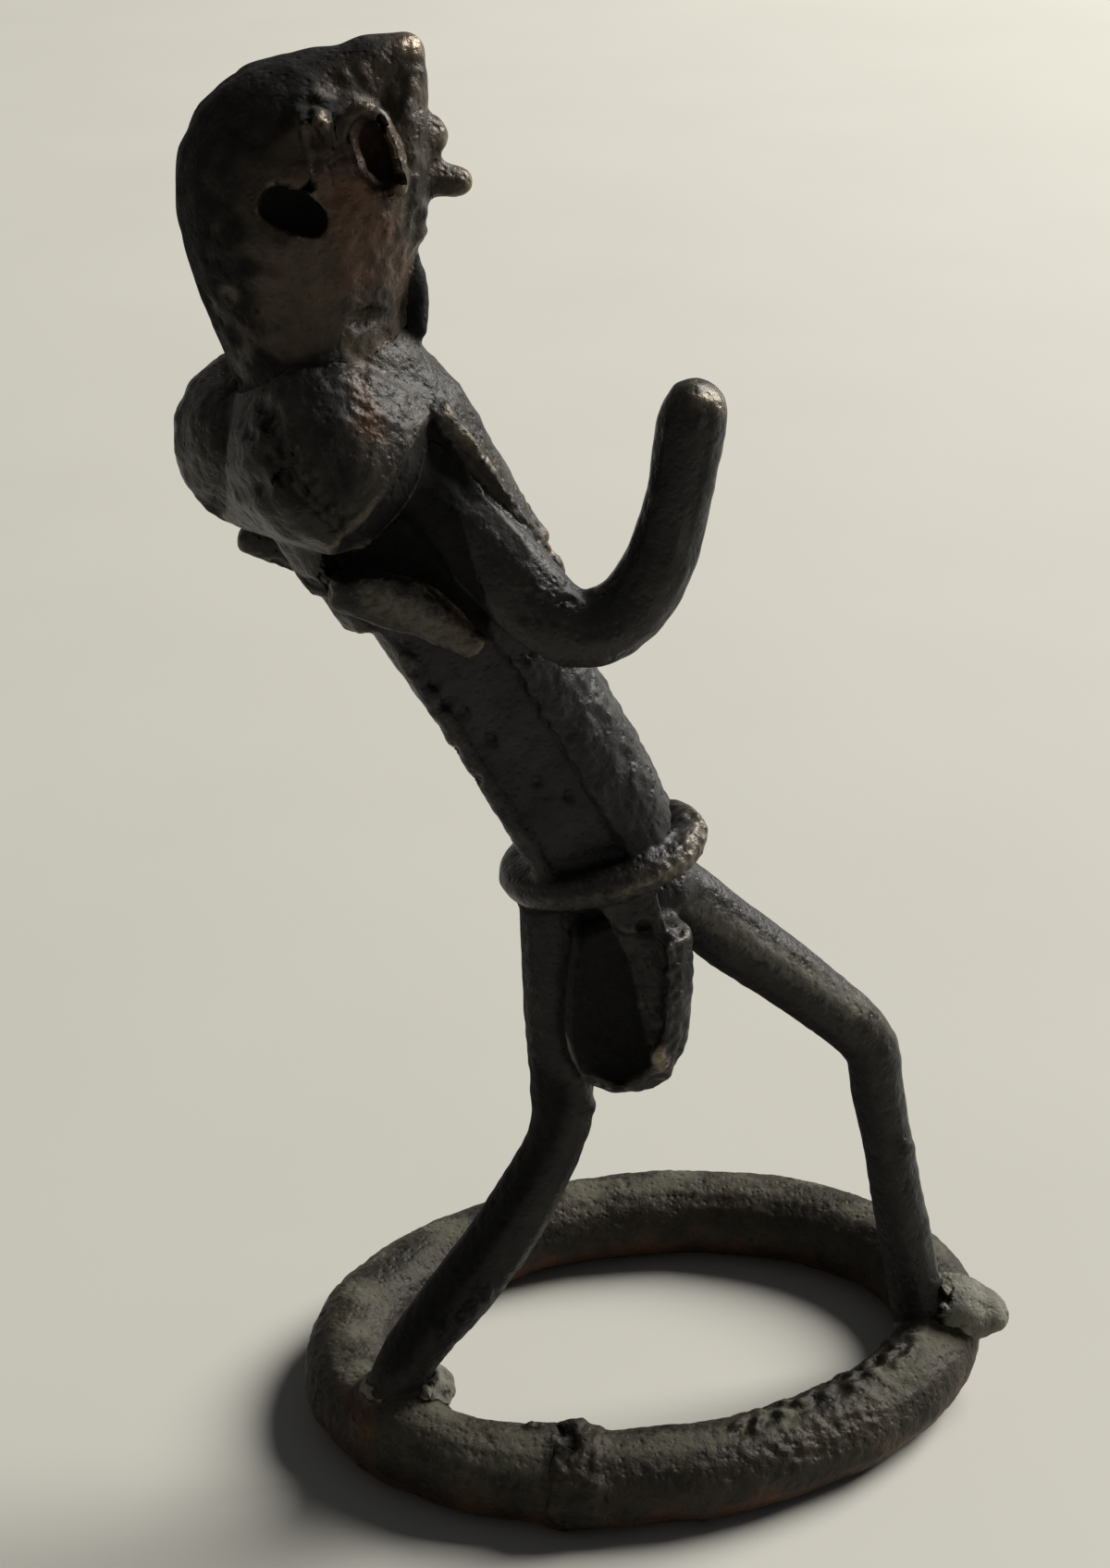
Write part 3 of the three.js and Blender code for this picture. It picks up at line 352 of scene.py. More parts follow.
def patina(name, dark, brown, gilt_and_highlight, pale, roughness, grain=1.0):
    """Old cast brass: two browns in soft clouds, gold where it's rubbed, crust, soot and rust, and fine pits.
    The gold also lays painted highlights on some ridges and rims, the pale crust a painted highlight on one
    thigh, and the soot painted shade in hollows, underneath and on sides turned away from the window.

    The four parts of the attribute read here say how rubbed, crusted, sooty and rusty each point is, with
    the painted highlights and shade carried in the first three.
    Noise is added to each of them, so that its patches get ragged edges.
    """
    rust_colour = (0.1, 0.045, 0.024)
    soot_and_shade_colour = (0.003, 0.0028, 0.0026)
    pit_depth = 0.00022
    paint = bpy.data.materials.new(name)
    paint.use_nodes = True
    nodes = paint.node_tree.nodes
    links = paint.node_tree.links
    shader = nodes["Principled BSDF"]
    where = nodes.new("ShaderNodeTexCoord")

    def noise(scale, detail, rough=0.55):
        cloud = nodes.new("ShaderNodeTexNoise")
        cloud.inputs["Scale"].default_value = scale
        cloud.inputs["Detail"].default_value = detail
        cloud.inputs["Roughness"].default_value = rough
        links.new(where.outputs["Object"], cloud.inputs["Vector"])
        return cloud.outputs["Fac"]

    def sum_of(value, factor, added):
        step = nodes.new("ShaderNodeMath")
        step.operation = "MULTIPLY_ADD"
        step.inputs[1].default_value = factor
        links.new(value, step.inputs[0])
        if isinstance(added, (int, float)):
            step.inputs[2].default_value = added
        else:
            links.new(added, step.inputs[2])
        return step.outputs[0]

    def stepped(value, low, high):
        ramp = nodes.new("ShaderNodeMapRange")
        ramp.interpolation_type = "SMOOTHSTEP"
        ramp.inputs["From Min"].default_value = low
        ramp.inputs["From Max"].default_value = high
        links.new(value, ramp.inputs["Value"])
        return ramp.outputs["Result"]

    def blend(share, first, second):
        mix = nodes.new("ShaderNodeMix")
        mix.data_type = "RGBA"
        links.new(share, mix.inputs["Factor"])
        for socket, colour in ((mix.inputs["A"], first), (mix.inputs["B"], second)):
            if isinstance(colour, tuple):
                socket.default_value = (*colour, 1)
            else:
                links.new(colour, socket)
        return mix.outputs["Result"]

    marks = nodes.new("ShaderNodeAttribute")
    marks.attribute_name = "marks_and_painted_light"
    parts = nodes.new("ShaderNodeSeparateColor")
    links.new(marks.outputs["Color"], parts.inputs["Color"])
    wide = noise(230, 5)
    close = noise(1300, 4, 0.65)
    speck = noise(3600, 3, 0.7)
    rubbed_and_highlight = stepped(sum_of(close, 0.5, parts.outputs["Red"]), 0.5, 1.1)
    crust_and_highlight_share = stepped(sum_of(close, 0.7, parts.outputs["Green"]), 0.62, 1.05)
    soot_and_shade_share = stepped(sum_of(close, 0.3, parts.outputs["Blue"]), 0.3, 0.75)
    rusty = stepped(sum_of(wide, 0.8, marks.outputs["Alpha"]), 0.6, 1.1)
    colour = blend(stepped(sum_of(close, 0.6, wide), 0.55, 1.05), dark, brown)
    colour = blend(rusty, colour, rust_colour)
    colour = blend(rubbed_and_highlight, colour, gilt_and_highlight)
    colour = blend(crust_and_highlight_share, colour, pale)
    colour = blend(soot_and_shade_share, colour, soot_and_shade_colour)
    links.new(colour, shader.inputs["Base Color"])
    links.new(sum_of(soot_and_shade_share, -0.25, sum_of(rubbed_and_highlight, 0.5, 0.25)), shader.inputs["Metallic"])
    shader.inputs["Specular IOR Level"].default_value = 0.22
    gloss = sum_of(rubbed_and_highlight, -0.06, sum_of(close, 0.35, roughness - 0.175))
    links.new(sum_of(soot_and_shade_share, 0.45, sum_of(crust_and_highlight_share, 0.35, gloss)), shader.inputs["Roughness"])
    cells = nodes.new("ShaderNodeTexVoronoi")
    cells.inputs["Scale"].default_value = 1500
    links.new(where.outputs["Object"], cells.inputs["Vector"])
    hollows = sum_of(stepped(cells.outputs["Distance"], 0.0, 0.45), 0.5, 0.0)
    height = sum_of(speck, 0.35, sum_of(close, 1.0, hollows))
    relief = nodes.new("ShaderNodeBump")
    relief.inputs["Strength"].default_value = 0.6
    relief.inputs["Distance"].default_value = pit_depth * grain
    links.new(height, relief.inputs["Height"])
    links.new(relief.outputs["Normal"], shader.inputs["Normal"])
    return paint


def cast(node, metal, square=0.22):
    """One piece cut out of the figure: its own closed skin laid on the figure's, its joints left inside.

    Points near a neighbour reach over the gap first. Then every point moves to the nearest place on the
    figure's skin, unless it's buried in a joint, and none goes under the floor. The figure's shading and
    its marks, with their painted highlights and painted shade, come with it. A point is rubbed where the
    figure stands proud of its own skin smoothed over rub_span, and where gold was added.
    """
    piece_softness = 0.15
    joint_reach = 0.9
    joint_span = 1.3
    skin_margin = 2
    piece = WaxSkin(solids([node]), square)
    piece.points = piece.blurred(piece.points, piece_softness)
    others = solids([name for name in every_node if name != node])
    step = piece.nearest(others) - piece.points
    near = np.linalg.norm(step, axis=1)
    reach = joint_reach * (1 - smooth_step(wax_gap, joint_span, near))
    piece.points = piece.points + piece.blurred(step * reach[:, None], piece_softness)
    low, high = piece.points.min(axis=0) - skin_margin, piece.points.max(axis=0) + skin_margin
    here = ((figure.points > low) & (figure.points < high)).all(axis=1)
    used, faces = np.unique(figure.faces[here[figure.faces].all(axis=1)], return_inverse=True)
    skin = squares_mesh(figure.points[used], faces.reshape(-1, 4))
    step = piece.nearest(skin) - piece.points
    away = np.linalg.norm(step, axis=1)
    buried = (1 - smooth_step(0.4, 0.6, near)) * smooth_step(0.4, 0.8, away)
    piece.points = piece.points + step * (1 - buried)[:, None]
    piece.points[:, 2] = np.maximum(piece.points[:, 2], 0)
    marks_and_painted_light = np.clip(np.stack([proud + gold_and_highlight, crust_and_highlight, soot_and_shade, rust], axis=1)[used], 0, 1)
    marks = skin.attributes.new("marks_and_painted_light", "FLOAT_COLOR", "POINT")
    marks.data.foreach_set("color", marks_and_painted_light.astype(np.float32).ravel())
    skin.vertices.foreach_set("co", (figure.points[used] * MM).astype(np.float32).ravel())
    skin.update()
    source = bpy.data.objects.new("source", skin)
    mesh = squares_mesh(piece.points * MM, piece.faces)
    mesh.attributes.new("marks_and_painted_light", "FLOAT_COLOR", "POINT")
    mesh.materials.append(metal)
    draft = bpy.data.objects.new("draft", mesh)
    for item in (source, draft):
        scene.collection.objects.link(item)
    copied = draft.modifiers.new("copied", "DATA_TRANSFER")
    copied.object = source
    copied.use_vert_data = True
    copied.data_types_verts = {"COLOR_VERTEX"}
    copied.vert_mapping = "POLYINTERP_NEAREST"
    copied.use_loop_data = True
    copied.data_types_loops = {"CUSTOM_NORMAL"}
    copied.loop_mapping = "POLYINTERP_NEAREST"
    final = bpy.data.meshes.new_from_object(draft.evaluated_get(bpy.context.evaluated_depsgraph_get()))
    final.name = node + "_cast"
    for item in (source, draft):
        bpy.data.objects.remove(item)
    for unused in (others, skin, mesh):
        bpy.data.meshes.remove(unused)
    result = bpy.data.objects.new(node + "_cast", final)
    scene.collection.objects.link(result)
    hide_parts(node)
    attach(result, "root")
    return result


ring_brass = patina(
    "ring_brass", dark=(0.014, 0.0125, 0.0098), brown=(0.046, 0.037, 0.025), gilt_and_highlight=(0.13, 0.105, 0.07),
    pale=(0.105, 0.098, 0.072), roughness=0.54, grain=1.3,
)
ring_here = figure.on("base_ring")
ring_top = np.clip(figure.normals()[:, 2], 0, 1)
ring_ragged_edge = [(805, 1539), (877, 1511), (938, 1478), (982, 1456)]
ring_rough_side = [(820, 1570), (900, 1540), (970, 1500)]
ring_nodules = [(680, 1640), (765, 1640)]
ring_red_patch = [(372, 1490), (395, 1545)]
ring_dark_end = [(300, 1400), (345, 1460), (330, 1530)]
ring_pale_side = [(420, 1560), (500, 1590), (600, 1600)]
figure.push(ring_here * (0.12 * hand_hills + 0.03 * rolled_hills + 0.03 * grain_hills + 0.02 * fine_hills))
figure.push(0.9 * ring_here * figure.drawn(ring_ragged_edge, 14) * np.clip(figure.lumps(1.7, 11), -0.35, 0.8))
soot_and_shade += 0.5 * ring_here * figure.drawn(ring_ragged_edge, 18) * np.clip(-figure.lumps(1.7, 11), 0, 1)
figure.push(0.13 * ring_here * figure.drawn(ring_rough_side, 30) * figure.lumps(1.2, 12))
for nodule in ring_nodules:
    figure.push(0.6 * ring_here * figure.drawn([nodule], 9))
figure.push(-0.2 * ring_here * figure.pits(1.2, 0.08, 13))
crust_and_highlight += ring_here * 0.62 * ring_top ** 2 * (0.7 + 0.4 * figure.lumps(5, 14))
ring_up = figure.normals()[:, 2]
rust += ring_here * (0.5 * np.clip(0.5 - ring_up, 0, 1) + 0.5 * figure.drawn(ring_red_patch, 22))
# Painted shade under the ring, and darker at its left end. Paler along its near side.
soot_and_shade += ring_here * (0.35 * np.clip(-ring_up, 0, 1) + 0.35 * figure.drawn(ring_dark_end, 50))
crust_and_highlight += 0.3 * ring_here * figure.drawn(ring_pale_side, 40)
cast("base_ring", ring_brass, square=0.26)

# Patch over the ring's ends: a rough lump of the same wax, pressed on where the two ends meet.
# It's cast in the ring's brass, with dark cracks and rough lumps, and runs out into the rod on both sides.
patch_here = figure.on("ring_joint_patch")
patch_cracks = ([(600, 1541), (614, 1548), (618, 1562), (606, 1572)], [(590, 1568), (579, 1580), (584, 1592)])
figure.melt(4 * patch_here * (1 - patch_here), 0.5)
figure.push(patch_here * (0.1 * rolled_hills + 0.1 * grain_hills))
for crack in patch_cracks:
    figure.push(-0.8 * patch_here * figure.drawn(crack, 7))
    soot_and_shade += patch_here * figure.drawn(crack, 7)
cast("ring_joint_patch", ring_brass, square=0.16)

# Legs: rods of wax rolled thinner below the knee and bent by hand, the rear one on the near side.
# They're dark brass, with a painted highlight on the front thigh and painted shade along the rear shin,
# under the legs and on their sides away from the window. The rear one has a ragged fin of flash under its
# shin.
leg_brass = patina(
    "leg_brass", dark=(0.008, 0.008, 0.008), brown=(0.025, 0.023, 0.021), gilt_and_highlight=(0.15, 0.12, 0.08),
    pale=(0.13, 0.125, 0.1), roughness=0.4,
)
legs_here = figure.on("rear_leg", "front_leg", "hips")
leg_pimples = [(637, 1195), (978, 1240)]
leg_fin = [(524, 1396), (500, 1418), (478, 1436)]
knee_worn = [(925, 1090), (955, 1110)]
thigh_painted_highlight = [(760, 985), (850, 1040), (925, 1090)]
shin_shade = [(595, 1190), (560, 1270), (500, 1360), (430, 1460)]
figure.push(legs_here * (0.1 * hand_hills + 0.03 * rolled_hills + 0.025 * grain_hills))
for pimple in leg_pimples:
    figure.push(0.5 * figure.drawn([pimple], 8))
figure.push(0.5 * legs_here * figure.drawn(leg_fin, 7) * np.clip(0.6 + grain_hills, 0, 1.4))
figure.push(-0.12 * legs_here * figure.pits(1.1, 0.05, 31))
gold_and_highlight += 0.2 * legs_here * figure.drawn(knee_worn, 20)
# Painted highlight: the top of the front thigh made paler, as if lit. Painted shade along the rear shin.
crust_and_highlight += 0.6 * legs_here * figure.drawn(thigh_painted_highlight, 22)
soot_and_shade += 0.5 * legs_here * figure.drawn(shin_shade, 30)
# Painted shade: darker underneath and on the sides turned away from the window.
legs_facing = figure.normals()
legs_under_painted_shade = 0.6 * np.clip(-legs_facing[:, 2] + 0.15, 0, 1)
legs_left_painted_shade = 0.35 * np.clip(-legs_facing[:, 0], 0, 1)
soot_and_shade += legs_here * (legs_under_painted_shade + legs_left_painted_shade)
cast("rear_leg", leg_brass)
cast("front_leg", leg_brass)

# Feet: shapeless pads of wax that hold the ankles to the ring, rough and pale with old crust.
# The front one spreads into a rounded toe, with threads and hollows beside the ankle.
foot_brass = patina(
    "foot_brass", dark=(0.06, 0.055, 0.042), brown=(0.11, 0.1, 0.077), gilt_and_highlight=(0.2, 0.17, 0.12),
    pale=(0.2, 0.195, 0.155), roughness=0.55, grain=1.8,
)
feet_here = figure.on("rear_foot", "front_foot")
toe_pad = [(1030, 1400), (1048, 1418)]
toe_tip = [(1080, 1428)]
ankle_threads = ([(990, 1382), (1004, 1400), (1002, 1420)], [(1012, 1405), (1018, 1425), (1008, 1445)])
ankle_hollows = [(1008, 1432), (1000, 1398)]
rear_pad = [(440, 1480), (452, 1500)]
rear_red_patch = [(405, 1495), (420, 1510)]
figure.push(feet_here * (0.12 * figure.lumps(2.2, 41) + 0.07 * grain_hills))
figure.push(feet_here * (0.9 * figure.drawn(toe_pad, 36) + 0.9 * figure.drawn(rear_pad, 26)))
figure.push(0.35 * feet_here * figure.drawn(toe_tip, 8))
for thread in ankle_threads:
    figure.push(0.4 * feet_here * figure.drawn(thread, 6))
for hollow in ankle_hollows:
    figure.push(-0.7 * feet_here * figure.drawn([hollow], 8))
    soot_and_shade += feet_here * figure.drawn([hollow], 8)
crust_and_highlight += feet_here * (0.55 + 0.3 * figure.lumps(2, 42))
rust += 0.6 * figure.drawn(rear_red_patch, 18)
cast("rear_foot", foot_brass, square=0.16)
cast("front_foot", foot_brass, square=0.16)

# Hips: a saddle of wax that takes both thighs under the belt, smoothed by a thumb.
# They're cast in the same dark brass as the legs, and run into both of them.
cast("hips", leg_brass, square=0.2)

# Torso: a flat-sided column of wax that leans back, cast dull and dark, with a few deep pits in it.
# Its top goes up into the mantle, where it's painted black, as soot and as painted shade.
torso_brass = patina(
    "torso_brass", dark=(0.009, 0.009, 0.01), brown=(0.024, 0.0235, 0.0235), gilt_and_highlight=(0.14, 0.115, 0.085),
    pale=(0.11, 0.11, 0.095), roughness=0.42,
)
trunk_here = figure.on("torso", "chest_panel", "back_strip")
arm_hollow = [
    (466, 460), (480, 474), (522, 540), (508, 548), (494, 552), (503, 592),
    (527, 688), (500, 658), (452, 624), (372, 618), (420, 560),
]
torso_pits = [(485, 760), (500, 770), (580, 845), (615, 860), (450, 728), (470, 740), (530, 800), (557, 728)]
figure.push(trunk_here * (0.08 * hand_hills + 0.05 * rolled_hills + 0.03 * grain_hills))
for pit in torso_pits:
    figure.push(-0.5 * trunk_here * figure.drawn([pit], 6))
figure.push(-0.12 * trunk_here * figure.pits(1, 0.06, 61))
# The hollow under the mantle painted black: painted shade, and soot.
soot_and_shade += 1.2 * figure.inside(arm_hollow, 8)
cast("torso", torso_brass)

# Strip down the back corner and slab on the front of the torso: thin wax pressed on flat.
# Both are the torso's dull brass. The strip has notches along it, and the slab's near edge is a low ridge
# with pricks along it, which fades out lower down.
strip_notches = [(470, 790), (490, 815), (515, 845), (545, 880)]
slab_pricks = [(545, 715), (563, 738), (580, 760), (592, 782), (603, 805), (622, 830)]
for notch in strip_notches:
    figure.push(-0.4 * trunk_here * figure.drawn([notch], 6))
for prick in slab_pricks:
    figure.push(-0.45 * trunk_here * figure.drawn([prick], 6))
slab_low_edge = [(600, 800), (622, 835), (650, 880), (672, 920)]
slab_here = figure.on("chest_panel")
figure.melt(figure.drawn(slab_low_edge, 16), 0.5)
figure.push(slab_here * (0.05 * rolled_hills + 0.04 * grain_hills))
crust_and_highlight += 0.15 * slab_here
cast("back_strip", torso_brass, square=0.15)
cast("chest_panel", torso_brass, square=0.2)

# Belt: a thin rod of wax laid round the waist in a ring, and pressed on in front.
# Its brass is smooth and dark behind. Its right side is rough, and worn bright.
dark_brass = patina(
    "dark_brass", dark=(0.009, 0.0088, 0.0088), brown=(0.027, 0.025, 0.0225), gilt_and_highlight=(0.19, 0.16, 0.115),
    pale=(0.13, 0.125, 0.1), roughness=0.38,
)
belt_here = figure.on("waist_belt")
belt_right = [(745, 850), (757, 885), (745, 925), (712, 955), (680, 975)]
figure.push(belt_here * (0.03 * rolled_hills))
figure.push(0.12 * belt_here * figure.drawn(belt_right, 24) * figure.lumps(0.9, 81))
gold_and_highlight += 0.2 * belt_here * figure.drawn(belt_right, 18)
cast("waist_belt", dark_brass, square=0.18)

# Pouch and its web: a scoop pressed from a sheet of wax, and the small web that hangs it from the belt.
# It's dark brass, painted black inside as painted shade, with its right rim worn to a shiny ridge
# and a painted highlight along it.
pouch_here = figure.on("pouch", "pouch_web")
pouch_right_rim = [(681, 1043), (690, 1070), (698, 1109), (717, 1153)]
pouch_left_rim = [(601, 1015), (604, 1081), (615, 1136), (628, 1165)]
pouch_floor = [(635, 1175), (680, 1180), (722, 1168)]
pouch_face = [(720, 1015), (723, 1137)]
pouch_inside = [
    (600, 985), (650, 990), (675, 1032), (684, 1072), (692, 1110),
    (706, 1150), (665, 1168), (630, 1158), (608, 1100),
]
pouch_hole = [(697, 1005)]
figure.push(pouch_here * (0.05 * rolled_hills + 0.04 * grain_hills))
figure.push(0.5 * pouch_here * figure.drawn(pouch_right_rim, 8))
figure.push(0.12 * pouch_here * figure.drawn(pouch_left_rim, 6))
figure.push(0.3 * pouch_here * figure.drawn(pouch_floor, 14) * figure.lumps(1.4, 91))
figure.push(0.14 * pouch_here * figure.drawn(pouch_face, 26) * figure.lumps(0.9, 92))
figure.push(-0.8 * pouch_here * figure.drawn(pouch_hole, 9))
# Gold on the rims: wear, and painted highlights along them.
gold_and_highlight += 0.85 * pouch_here * figure.drawn(pouch_right_rim, 6) + 0.25 * figure.drawn(pouch_left_rim, 6)
# Painted shade: the inside of the scoop painted black. Soot in the hole.
soot_and_shade += 1.3 * figure.inside(pouch_inside, 5) + pouch_here * figure.drawn(pouch_hole, 9)
cast("pouch", dark_brass, square=0.18)
cast("pouch_web", dark_brass, square=0.15)

# Tunic and its back hem: a mantle of soft wax over the shoulders, folded and pricked where it was joined.
# It's brown-black brass, open at each side. The hollow is painted black inside as painted shade, and the
# arm comes out of it.
tunic_brass = patina(
    "tunic_brass", dark=(0.01, 0.009, 0.0082), brown=(0.034, 0.0285, 0.0225), gilt_and_highlight=(0.17, 0.135, 0.09),
    pale=(0.14, 0.125, 0.1), roughness=0.44, grain=1.1,
)
tunic_here = figure.on("tunic", "tunic_back_hem")
tunic_fold = [(288, 440), (298, 485), (312, 520), (345, 552), (390, 590)]
tunic_fold_edge = [(318, 490), (333, 520), (362, 552), (396, 580)]
tunic_holes = [(292, 492), (302, 520), (270, 470), (285, 455)]
tunic_back_crease = [(245, 400), (232, 470), (230, 560)]
tunic_dent = [(275, 530)]
tunic_slit = [(350, 609), (362, 617), (374, 622)]
tunic_lower_slit = [(298, 612), (325, 632), (350, 640)]
neck_rough_patch = [(380, 385), (398, 430), (408, 460)]
armhole_rim = [(465, 450), (430, 505), (395, 555), (352, 608)]
hollow_edge = [(466, 470), (460, 510), (444, 541), (412, 576), (376, 597)]
tunic_shade = [(350, 430), (370, 520)]
beside_arm = [(522, 545), (548, 575), (566, 600)]
tunic_lip = [(468, 452), (484, 478), (486, 530), (460, 585), (408, 624), (350, 622), (398, 562), (432, 508)]
figure.push(tunic_here * (0.12 * hand_hills + 0.07 * rolled_hills + 0.04 * grain_hills))
figure.push(-0.8 * tunic_here * figure.drawn(tunic_fold, 12) * (0.9 + 0.5 * rolled_hills))
figure.push(-0.5 * tunic_here * figure.drawn(tunic_fold, 5) * np.clip(0.8 + grain_hills, 0, 1.5))
figure.push(0.55 * tunic_here * figure.drawn(tunic_fold_edge, 7) * (0.7 + 0.8 * grain_hills))
tunic_crease_side = 0.5 * tunic_here * figure.drawn(tunic_back_crease, 14)
tunic_crease_foot = 0.6 * tunic_here * figure.drawn(tunic_back_crease, 6)
figure.push(-tunic_crease_side - tunic_crease_foot)
figure.push(-0.6 * tunic_here * figure.drawn(tunic_dent, 14))
figure.push(-0.8 * tunic_here * figure.inside(tunic_lip, 8))
# Darker along the fold, the dent and the back crease.
tunic_crease_dark = figure.drawn(tunic_fold, 6) + figure.drawn(tunic_dent, 10) + figure.drawn(tunic_back_crease, 7)
soot_and_shade += 0.5 * tunic_here * tunic_crease_dark
for hole in tunic_holes:
    figure.push(-0.7 * tunic_here * figure.drawn([hole], 6))
    soot_and_shade += 0.8 * tunic_here * figure.drawn([hole], 6)
for slit in (tunic_slit, tunic_lower_slit):
    figure.push(-0.6 * figure.drawn(slit, 6))
    soot_and_shade += 0.8 * figure.drawn(slit, 5)
figure.push(-0.12 * tunic_here * figure.pits(1, 0.07, 101))
figure.push(0.07 * figure.drawn(neck_rough_patch, 36) * figure.lumps(0.9, 102))
figure.push(0.15 * tunic_here * figure.drawn(armhole_rim, 8))
figure.push(-0.6 * figure.inside(arm_hollow, 12) * (1 - tunic_here))
figure.melt(1.2 * figure.drawn(hollow_edge, 12), 0.6)
crust_and_highlight += 0.2 * figure.drawn(neck_rough_patch, 34)
rust += 0.35 * figure.drawn(neck_rough_patch, 34)
gold_and_highlight += tunic_here * (0.3 * figure.drawn(armhole_rim, 7) + 0.1 * figure.drawn(tunic_fold_edge, 6))
# Painted shade: the armhole and the hollow beside the arm painted black, and the side below the neck
# darkened.
soot_and_shade += 1.2 * figure.inside(tunic_lip, 5) + figure.drawn(beside_arm, 8) + figure.drawn(hollow_edge, 9)
soot_and_shade += 0.45 * tunic_here * figure.drawn(tunic_shade, 34)
cast("tunic", tunic_brass)
cast("tunic_back_hem", tunic_brass, square=0.16)

# Flaps round each arm opening: in front a doubled strip with a groove down its middle, behind a leaf
# pressed hollow like a spoon. Their edges are worn to gold.
flap_here = figure.on("near_front_flap", "far_front_flap", "near_leaf_flap", "far_leaf_flap")
flap_groove = [(490, 478), (525, 525), (560, 570), (578, 600)]
flap_inner_edge = [(474, 458), (512, 518), (550, 575), (575, 615)]
flap_outer_edge = [(500, 470), (545, 525), (580, 575), (602, 605)]
flap_tip = [(590, 600), (596, 620)]
leaf_face = [(400, 640), (450, 665), (500, 695)]
leaf_spoon = [(470, 640), (492, 655), (512, 680)]
leaf_edge = [(455, 628), (492, 636), (518, 672), (530, 702)]
figure.push(flap_here * (0.06 * rolled_hills + 0.04 * grain_hills))
for edge in (flap_inner_edge, flap_outer_edge):
    figure.push(0.3 * flap_here * figure.drawn(edge, 9) * (0.8 + 0.4 * grain_hills))
    gold_and_highlight += 0.22 * flap_here * figure.drawn(edge, 8)
figure.push(-0.5 * flap_here * figure.drawn(flap_groove, 7))
figure.push(0.3 * flap_here * figure.drawn(flap_tip, 14) * grain_hills)
figure.push(-0.22 * flap_here * figure.drawn(leaf_spoon, 13) + 0.15 * flap_here * figure.drawn(leaf_edge, 7))
gold_and_highlight += 0.35 * flap_here * figure.drawn(flap_tip, 14) + 0.25 * flap_here * figure.drawn(leaf_edge, 8)
crust_and_highlight += 0.5 * flap_here * figure.drawn(leaf_face, 30)
rust += 0.4 * flap_here * figure.drawn(leaf_spoon, 20)
for node in ("near_front_flap", "far_front_flap", "near_leaf_flap", "far_leaf_flap"):
    cast(node, tunic_brass, square=0.15)

# Arms: the near one is a rod bent up at the elbow and rounded at its end, pressed flat along its front.
# The far one hangs close along the torso. Both are dark brass, and run into the mantle.
arms_here = figure.on("near_arm", "far_arm")
arm_facet = [(768, 425), (758, 500), (745, 590)]
arm_marks = (
    [(557, 640), (566, 668)], [(572, 640), (582, 670)], [(588, 645), (598, 672)], [(600, 652), (618, 650)],
)
arm_pimples = [(585, 640), (612, 655), (640, 640)]
arm_tip = [(768, 425), (780, 440)]
figure.push(arms_here * (0.1 * hand_hills + 0.035 * rolled_hills + 0.02 * grain_hills))
figure.push(-0.3 * arms_here * figure.drawn(arm_facet, 16))
for mark in arm_marks:
    figure.push(-0.3 * arms_here * figure.drawn(mark, 4))
for pimple in arm_pimples:
    figure.push(0.25 * arms_here * figure.drawn([pimple], 5))
gold_and_highlight += 0.2 * arms_here * figure.drawn(arm_tip, 14)
for node in ("near_arm", "far_arm"):
    cast(node, dark_brass, square=0.2)

# Neck and head: a back-swept head on a thick neck, pitted behind, with a deep slot for the eye, a ragged
# hole behind the cheek, and threads of wax pinched up between them. Brown wear covers the cheek.
# Painted shade darkens the dome, the back of the head and the back of the neck.
head_brass = patina(
    "head_brass", dark=(0.012, 0.0096, 0.0072), brown=(0.06, 0.043, 0.028), gilt_and_highlight=(0.21, 0.17, 0.12),
    pale=(0.15, 0.13, 0.1), roughness=0.4, grain=1.1,
)
head_here = figure.on("neck_and_head", "cap", "near_eye_rim", "near_ear", "far_eye_rim", "far_ear")
cheek_ridge = [(370, 127), (378, 182), (390, 202), (404, 216), (430, 196)]
brow_threads = ([(392, 72), (399, 105), (392, 122)], [(372, 80), (384, 108)], [(410, 88), (406, 112)])
ear_threads = ([(328, 132), (334, 165)], [(342, 130), (354, 152), (367, 178)])
ear_loop = [(318, 120), (326, 106), (340, 102), (352, 112), (357, 132)]
ear_hollow = [(332, 120)]
hole_outline = [
    (295, 204), (331, 210), (339, 221), (353, 234), (348, 254), (320, 251), (301, 243), (279, 229),
]
hole_roof = [(310, 190), (345, 190)]
eye_front_rim = [(410, 126), (424, 158), (433, 190), (434, 205)]
eye_inside = [(400, 126), (410, 134), (424, 170), (430, 196), (418, 200), (400, 182), (390, 150)]
neck_hole = [(386, 348), (402, 342)]
neck_back = [(225, 290), (245, 345), (285, 395)]
face_front = [(440, 70), (446, 130), (450, 190), (452, 250)]
cheek = [(360, 190), (395, 240), (400, 290)]
neck_shade = [(250, 260), (290, 340), (330, 400)]
eye_red_corner = [(398, 150), (404, 170)]
neck_front = [(395, 330), (400, 390)]
dome_shade_place = (-24.1, 111.3)
dome_shade_slope = 0.74
dome_shade_back = -28.5
dome_shade_back_slope = 0.8
figure.push(head_here * (0.12 * hand_hills + 0.07 * rolled_hills))
figure.push(0.1 * head_here * figure.drawn(face_front, 45) * figure.lumps(1.1, 131))
figure.push(0.08 * head_here * figure.drawn(cheek, 60) * grain_hills)
figure.push(0.65 * head_here * figure.drawn(cheek_ridge, 7))
for thread in brow_threads:
    figure.push(0.2 * head_here * figure.drawn(thread, 8))
for thread in ear_threads:
    figure.push(0.4 * head_here * figure.drawn(thread, 5))
figure.push(0.55 * head_here * figure.drawn(ear_loop, 7) - 0.5 * head_here * figure.drawn(ear_hollow, 7))
figure.push(0.55 * head_here * figure.drawn(hole_roof, 15))
figure.push(-0.9 * head_here * figure.inside(hole_outline, 5))
figure.push(-0.5 * head_here * figure.inside(eye_inside, 5))
figure.push(0.3 * head_here * figure.drawn(eye_front_rim, 6))
figure.push(-1.1 * head_here * figure.drawn(neck_hole, 8))
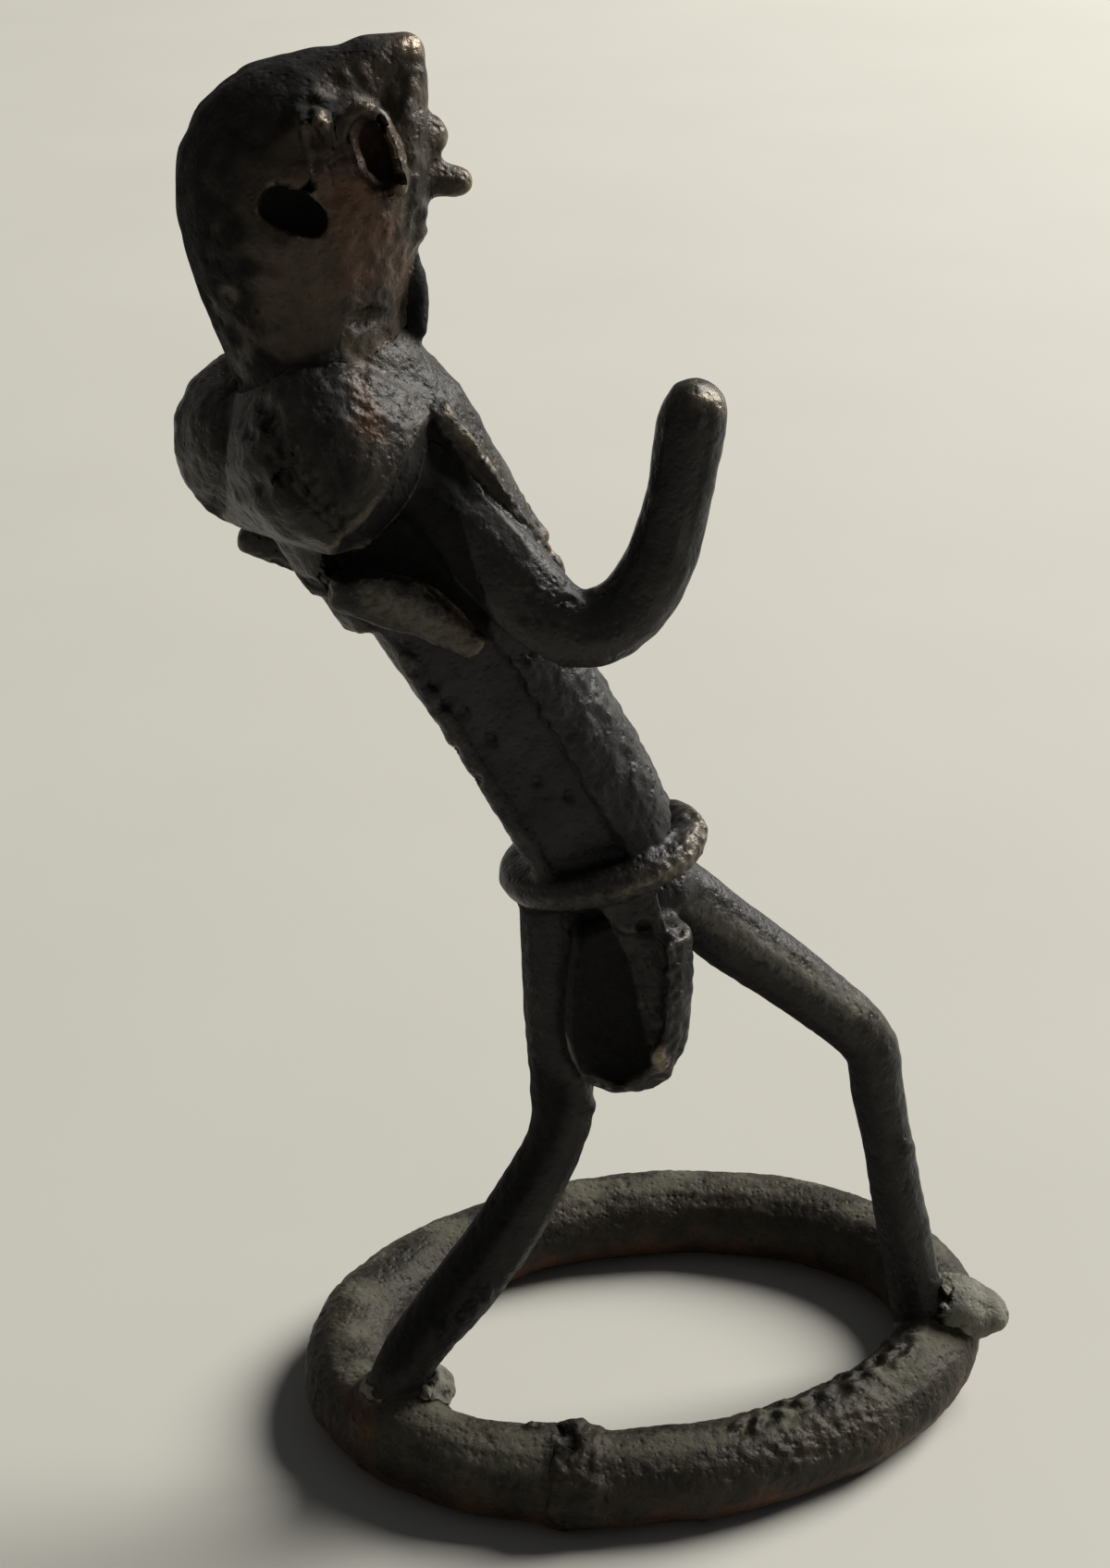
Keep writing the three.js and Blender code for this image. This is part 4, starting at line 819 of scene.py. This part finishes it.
figure.push(-0.45 * head_here * figure.drawn(neck_back, 50) * figure.pits(1.1, 0.14, 133))
figure.push(-0.12 * head_here * figure.pits(0.9, 0.07, 134))
# Gold along the ridges and threads is wear, and on the cheek ridge a painted highlight as well.
for line in (cheek_ridge, eye_front_rim, ear_loop, *brow_threads):
    gold_and_highlight += 0.4 * head_here * figure.drawn(line, 7)
gold_and_highlight += 0.3 * head_here * figure.drawn(hole_outline + hole_outline[:1], 5)
eye_rim_back = figure.on("near_eye_rim") * (1 - figure.drawn(eye_front_rim, 9))
gold_and_highlight -= 0.5 * eye_rim_back
figure.melt(0.8 * eye_rim_back, 0.5)
figure.push(-0.2 * eye_rim_back * (1 + 0.6 * grain_hills))
rust += head_here * (0.4 * figure.drawn(cheek, 60) + 0.8 * figure.drawn(eye_red_corner, 9))
crust_and_highlight += 0.35 * head_here * figure.drawn(neck_front, 36)
soot_and_shade += np.clip(1.3 * figure.inside(hole_outline, 8) + 0.25 * grain_hills - 0.25, 0, 1)
soot_and_shade += head_here * (figure.drawn(neck_hole, 6) + figure.drawn(ear_hollow, 6))
soot_and_shade += 0.25 * figure.inside(eye_inside, 5)
# Painted shade: the dome and the back of the head darkened, as if turned away from the window, and the back
# of the neck too.
head_x, _, head_z = figure.points.T
dome_shade_top = (head_z - dome_shade_place[1]) - dome_shade_slope * (head_x - dome_shade_place[0])
dome_shade = np.maximum(dome_shade_top, dome_shade_back_slope * (dome_shade_back - head_x)) + 1.2 * rolled_hills
soot_and_shade += 0.52 * head_here * smooth_step(-3, 3, dome_shade)
soot_and_shade += 0.2 * head_here * figure.drawn(neck_shade, 60) * (1 + 0.5 * rolled_hills)
cast("neck_and_head", head_brass, square=0.18)

# Cap: a close cap of smooth wax, its back painted black as painted shade, that runs forward to a peak
# worn bright, with a painted highlight on it as well.
# It runs into the head all round, with no edge to be seen, so it's cast in the same brass.
cap_peak = [(432, 50), (444, 52)]
# Gold on the peak: wear, and a painted highlight.
gold_and_highlight += 0.4 * head_here * figure.drawn(cap_peak, 12)
cast("cap", head_brass, square=0.18)

# Threads of wax round the eyes and at the ears, pressed down at both ends into the cheek.
# They're rubbed a little on their tops.
for node in ("near_eye_rim", "far_eye_rim", "near_ear", "far_ear"):
    cast(node, head_brass, square=0.12)

# Rod in the mouth, bump above it, and the drop of a beard under the chin: small lumps of wax, pressed on.
# The rod and the bump are the face's brown brass. The drop hangs in the shade of the chin, and is painted
# black as painted shade.
small_here = figure.on("mouth_rod", "brow_bump", "beard")
figure.push(small_here * (0.05 * rolled_hills + 0.03 * grain_hills))
# Painted shade: the drop under the chin darkened.
soot_and_shade += 0.5 * figure.on("beard")
cast("mouth_rod", head_brass, square=0.14)
cast("brow_bump", head_brass, square=0.12)
cast("beard", dark_brass, square=0.14)
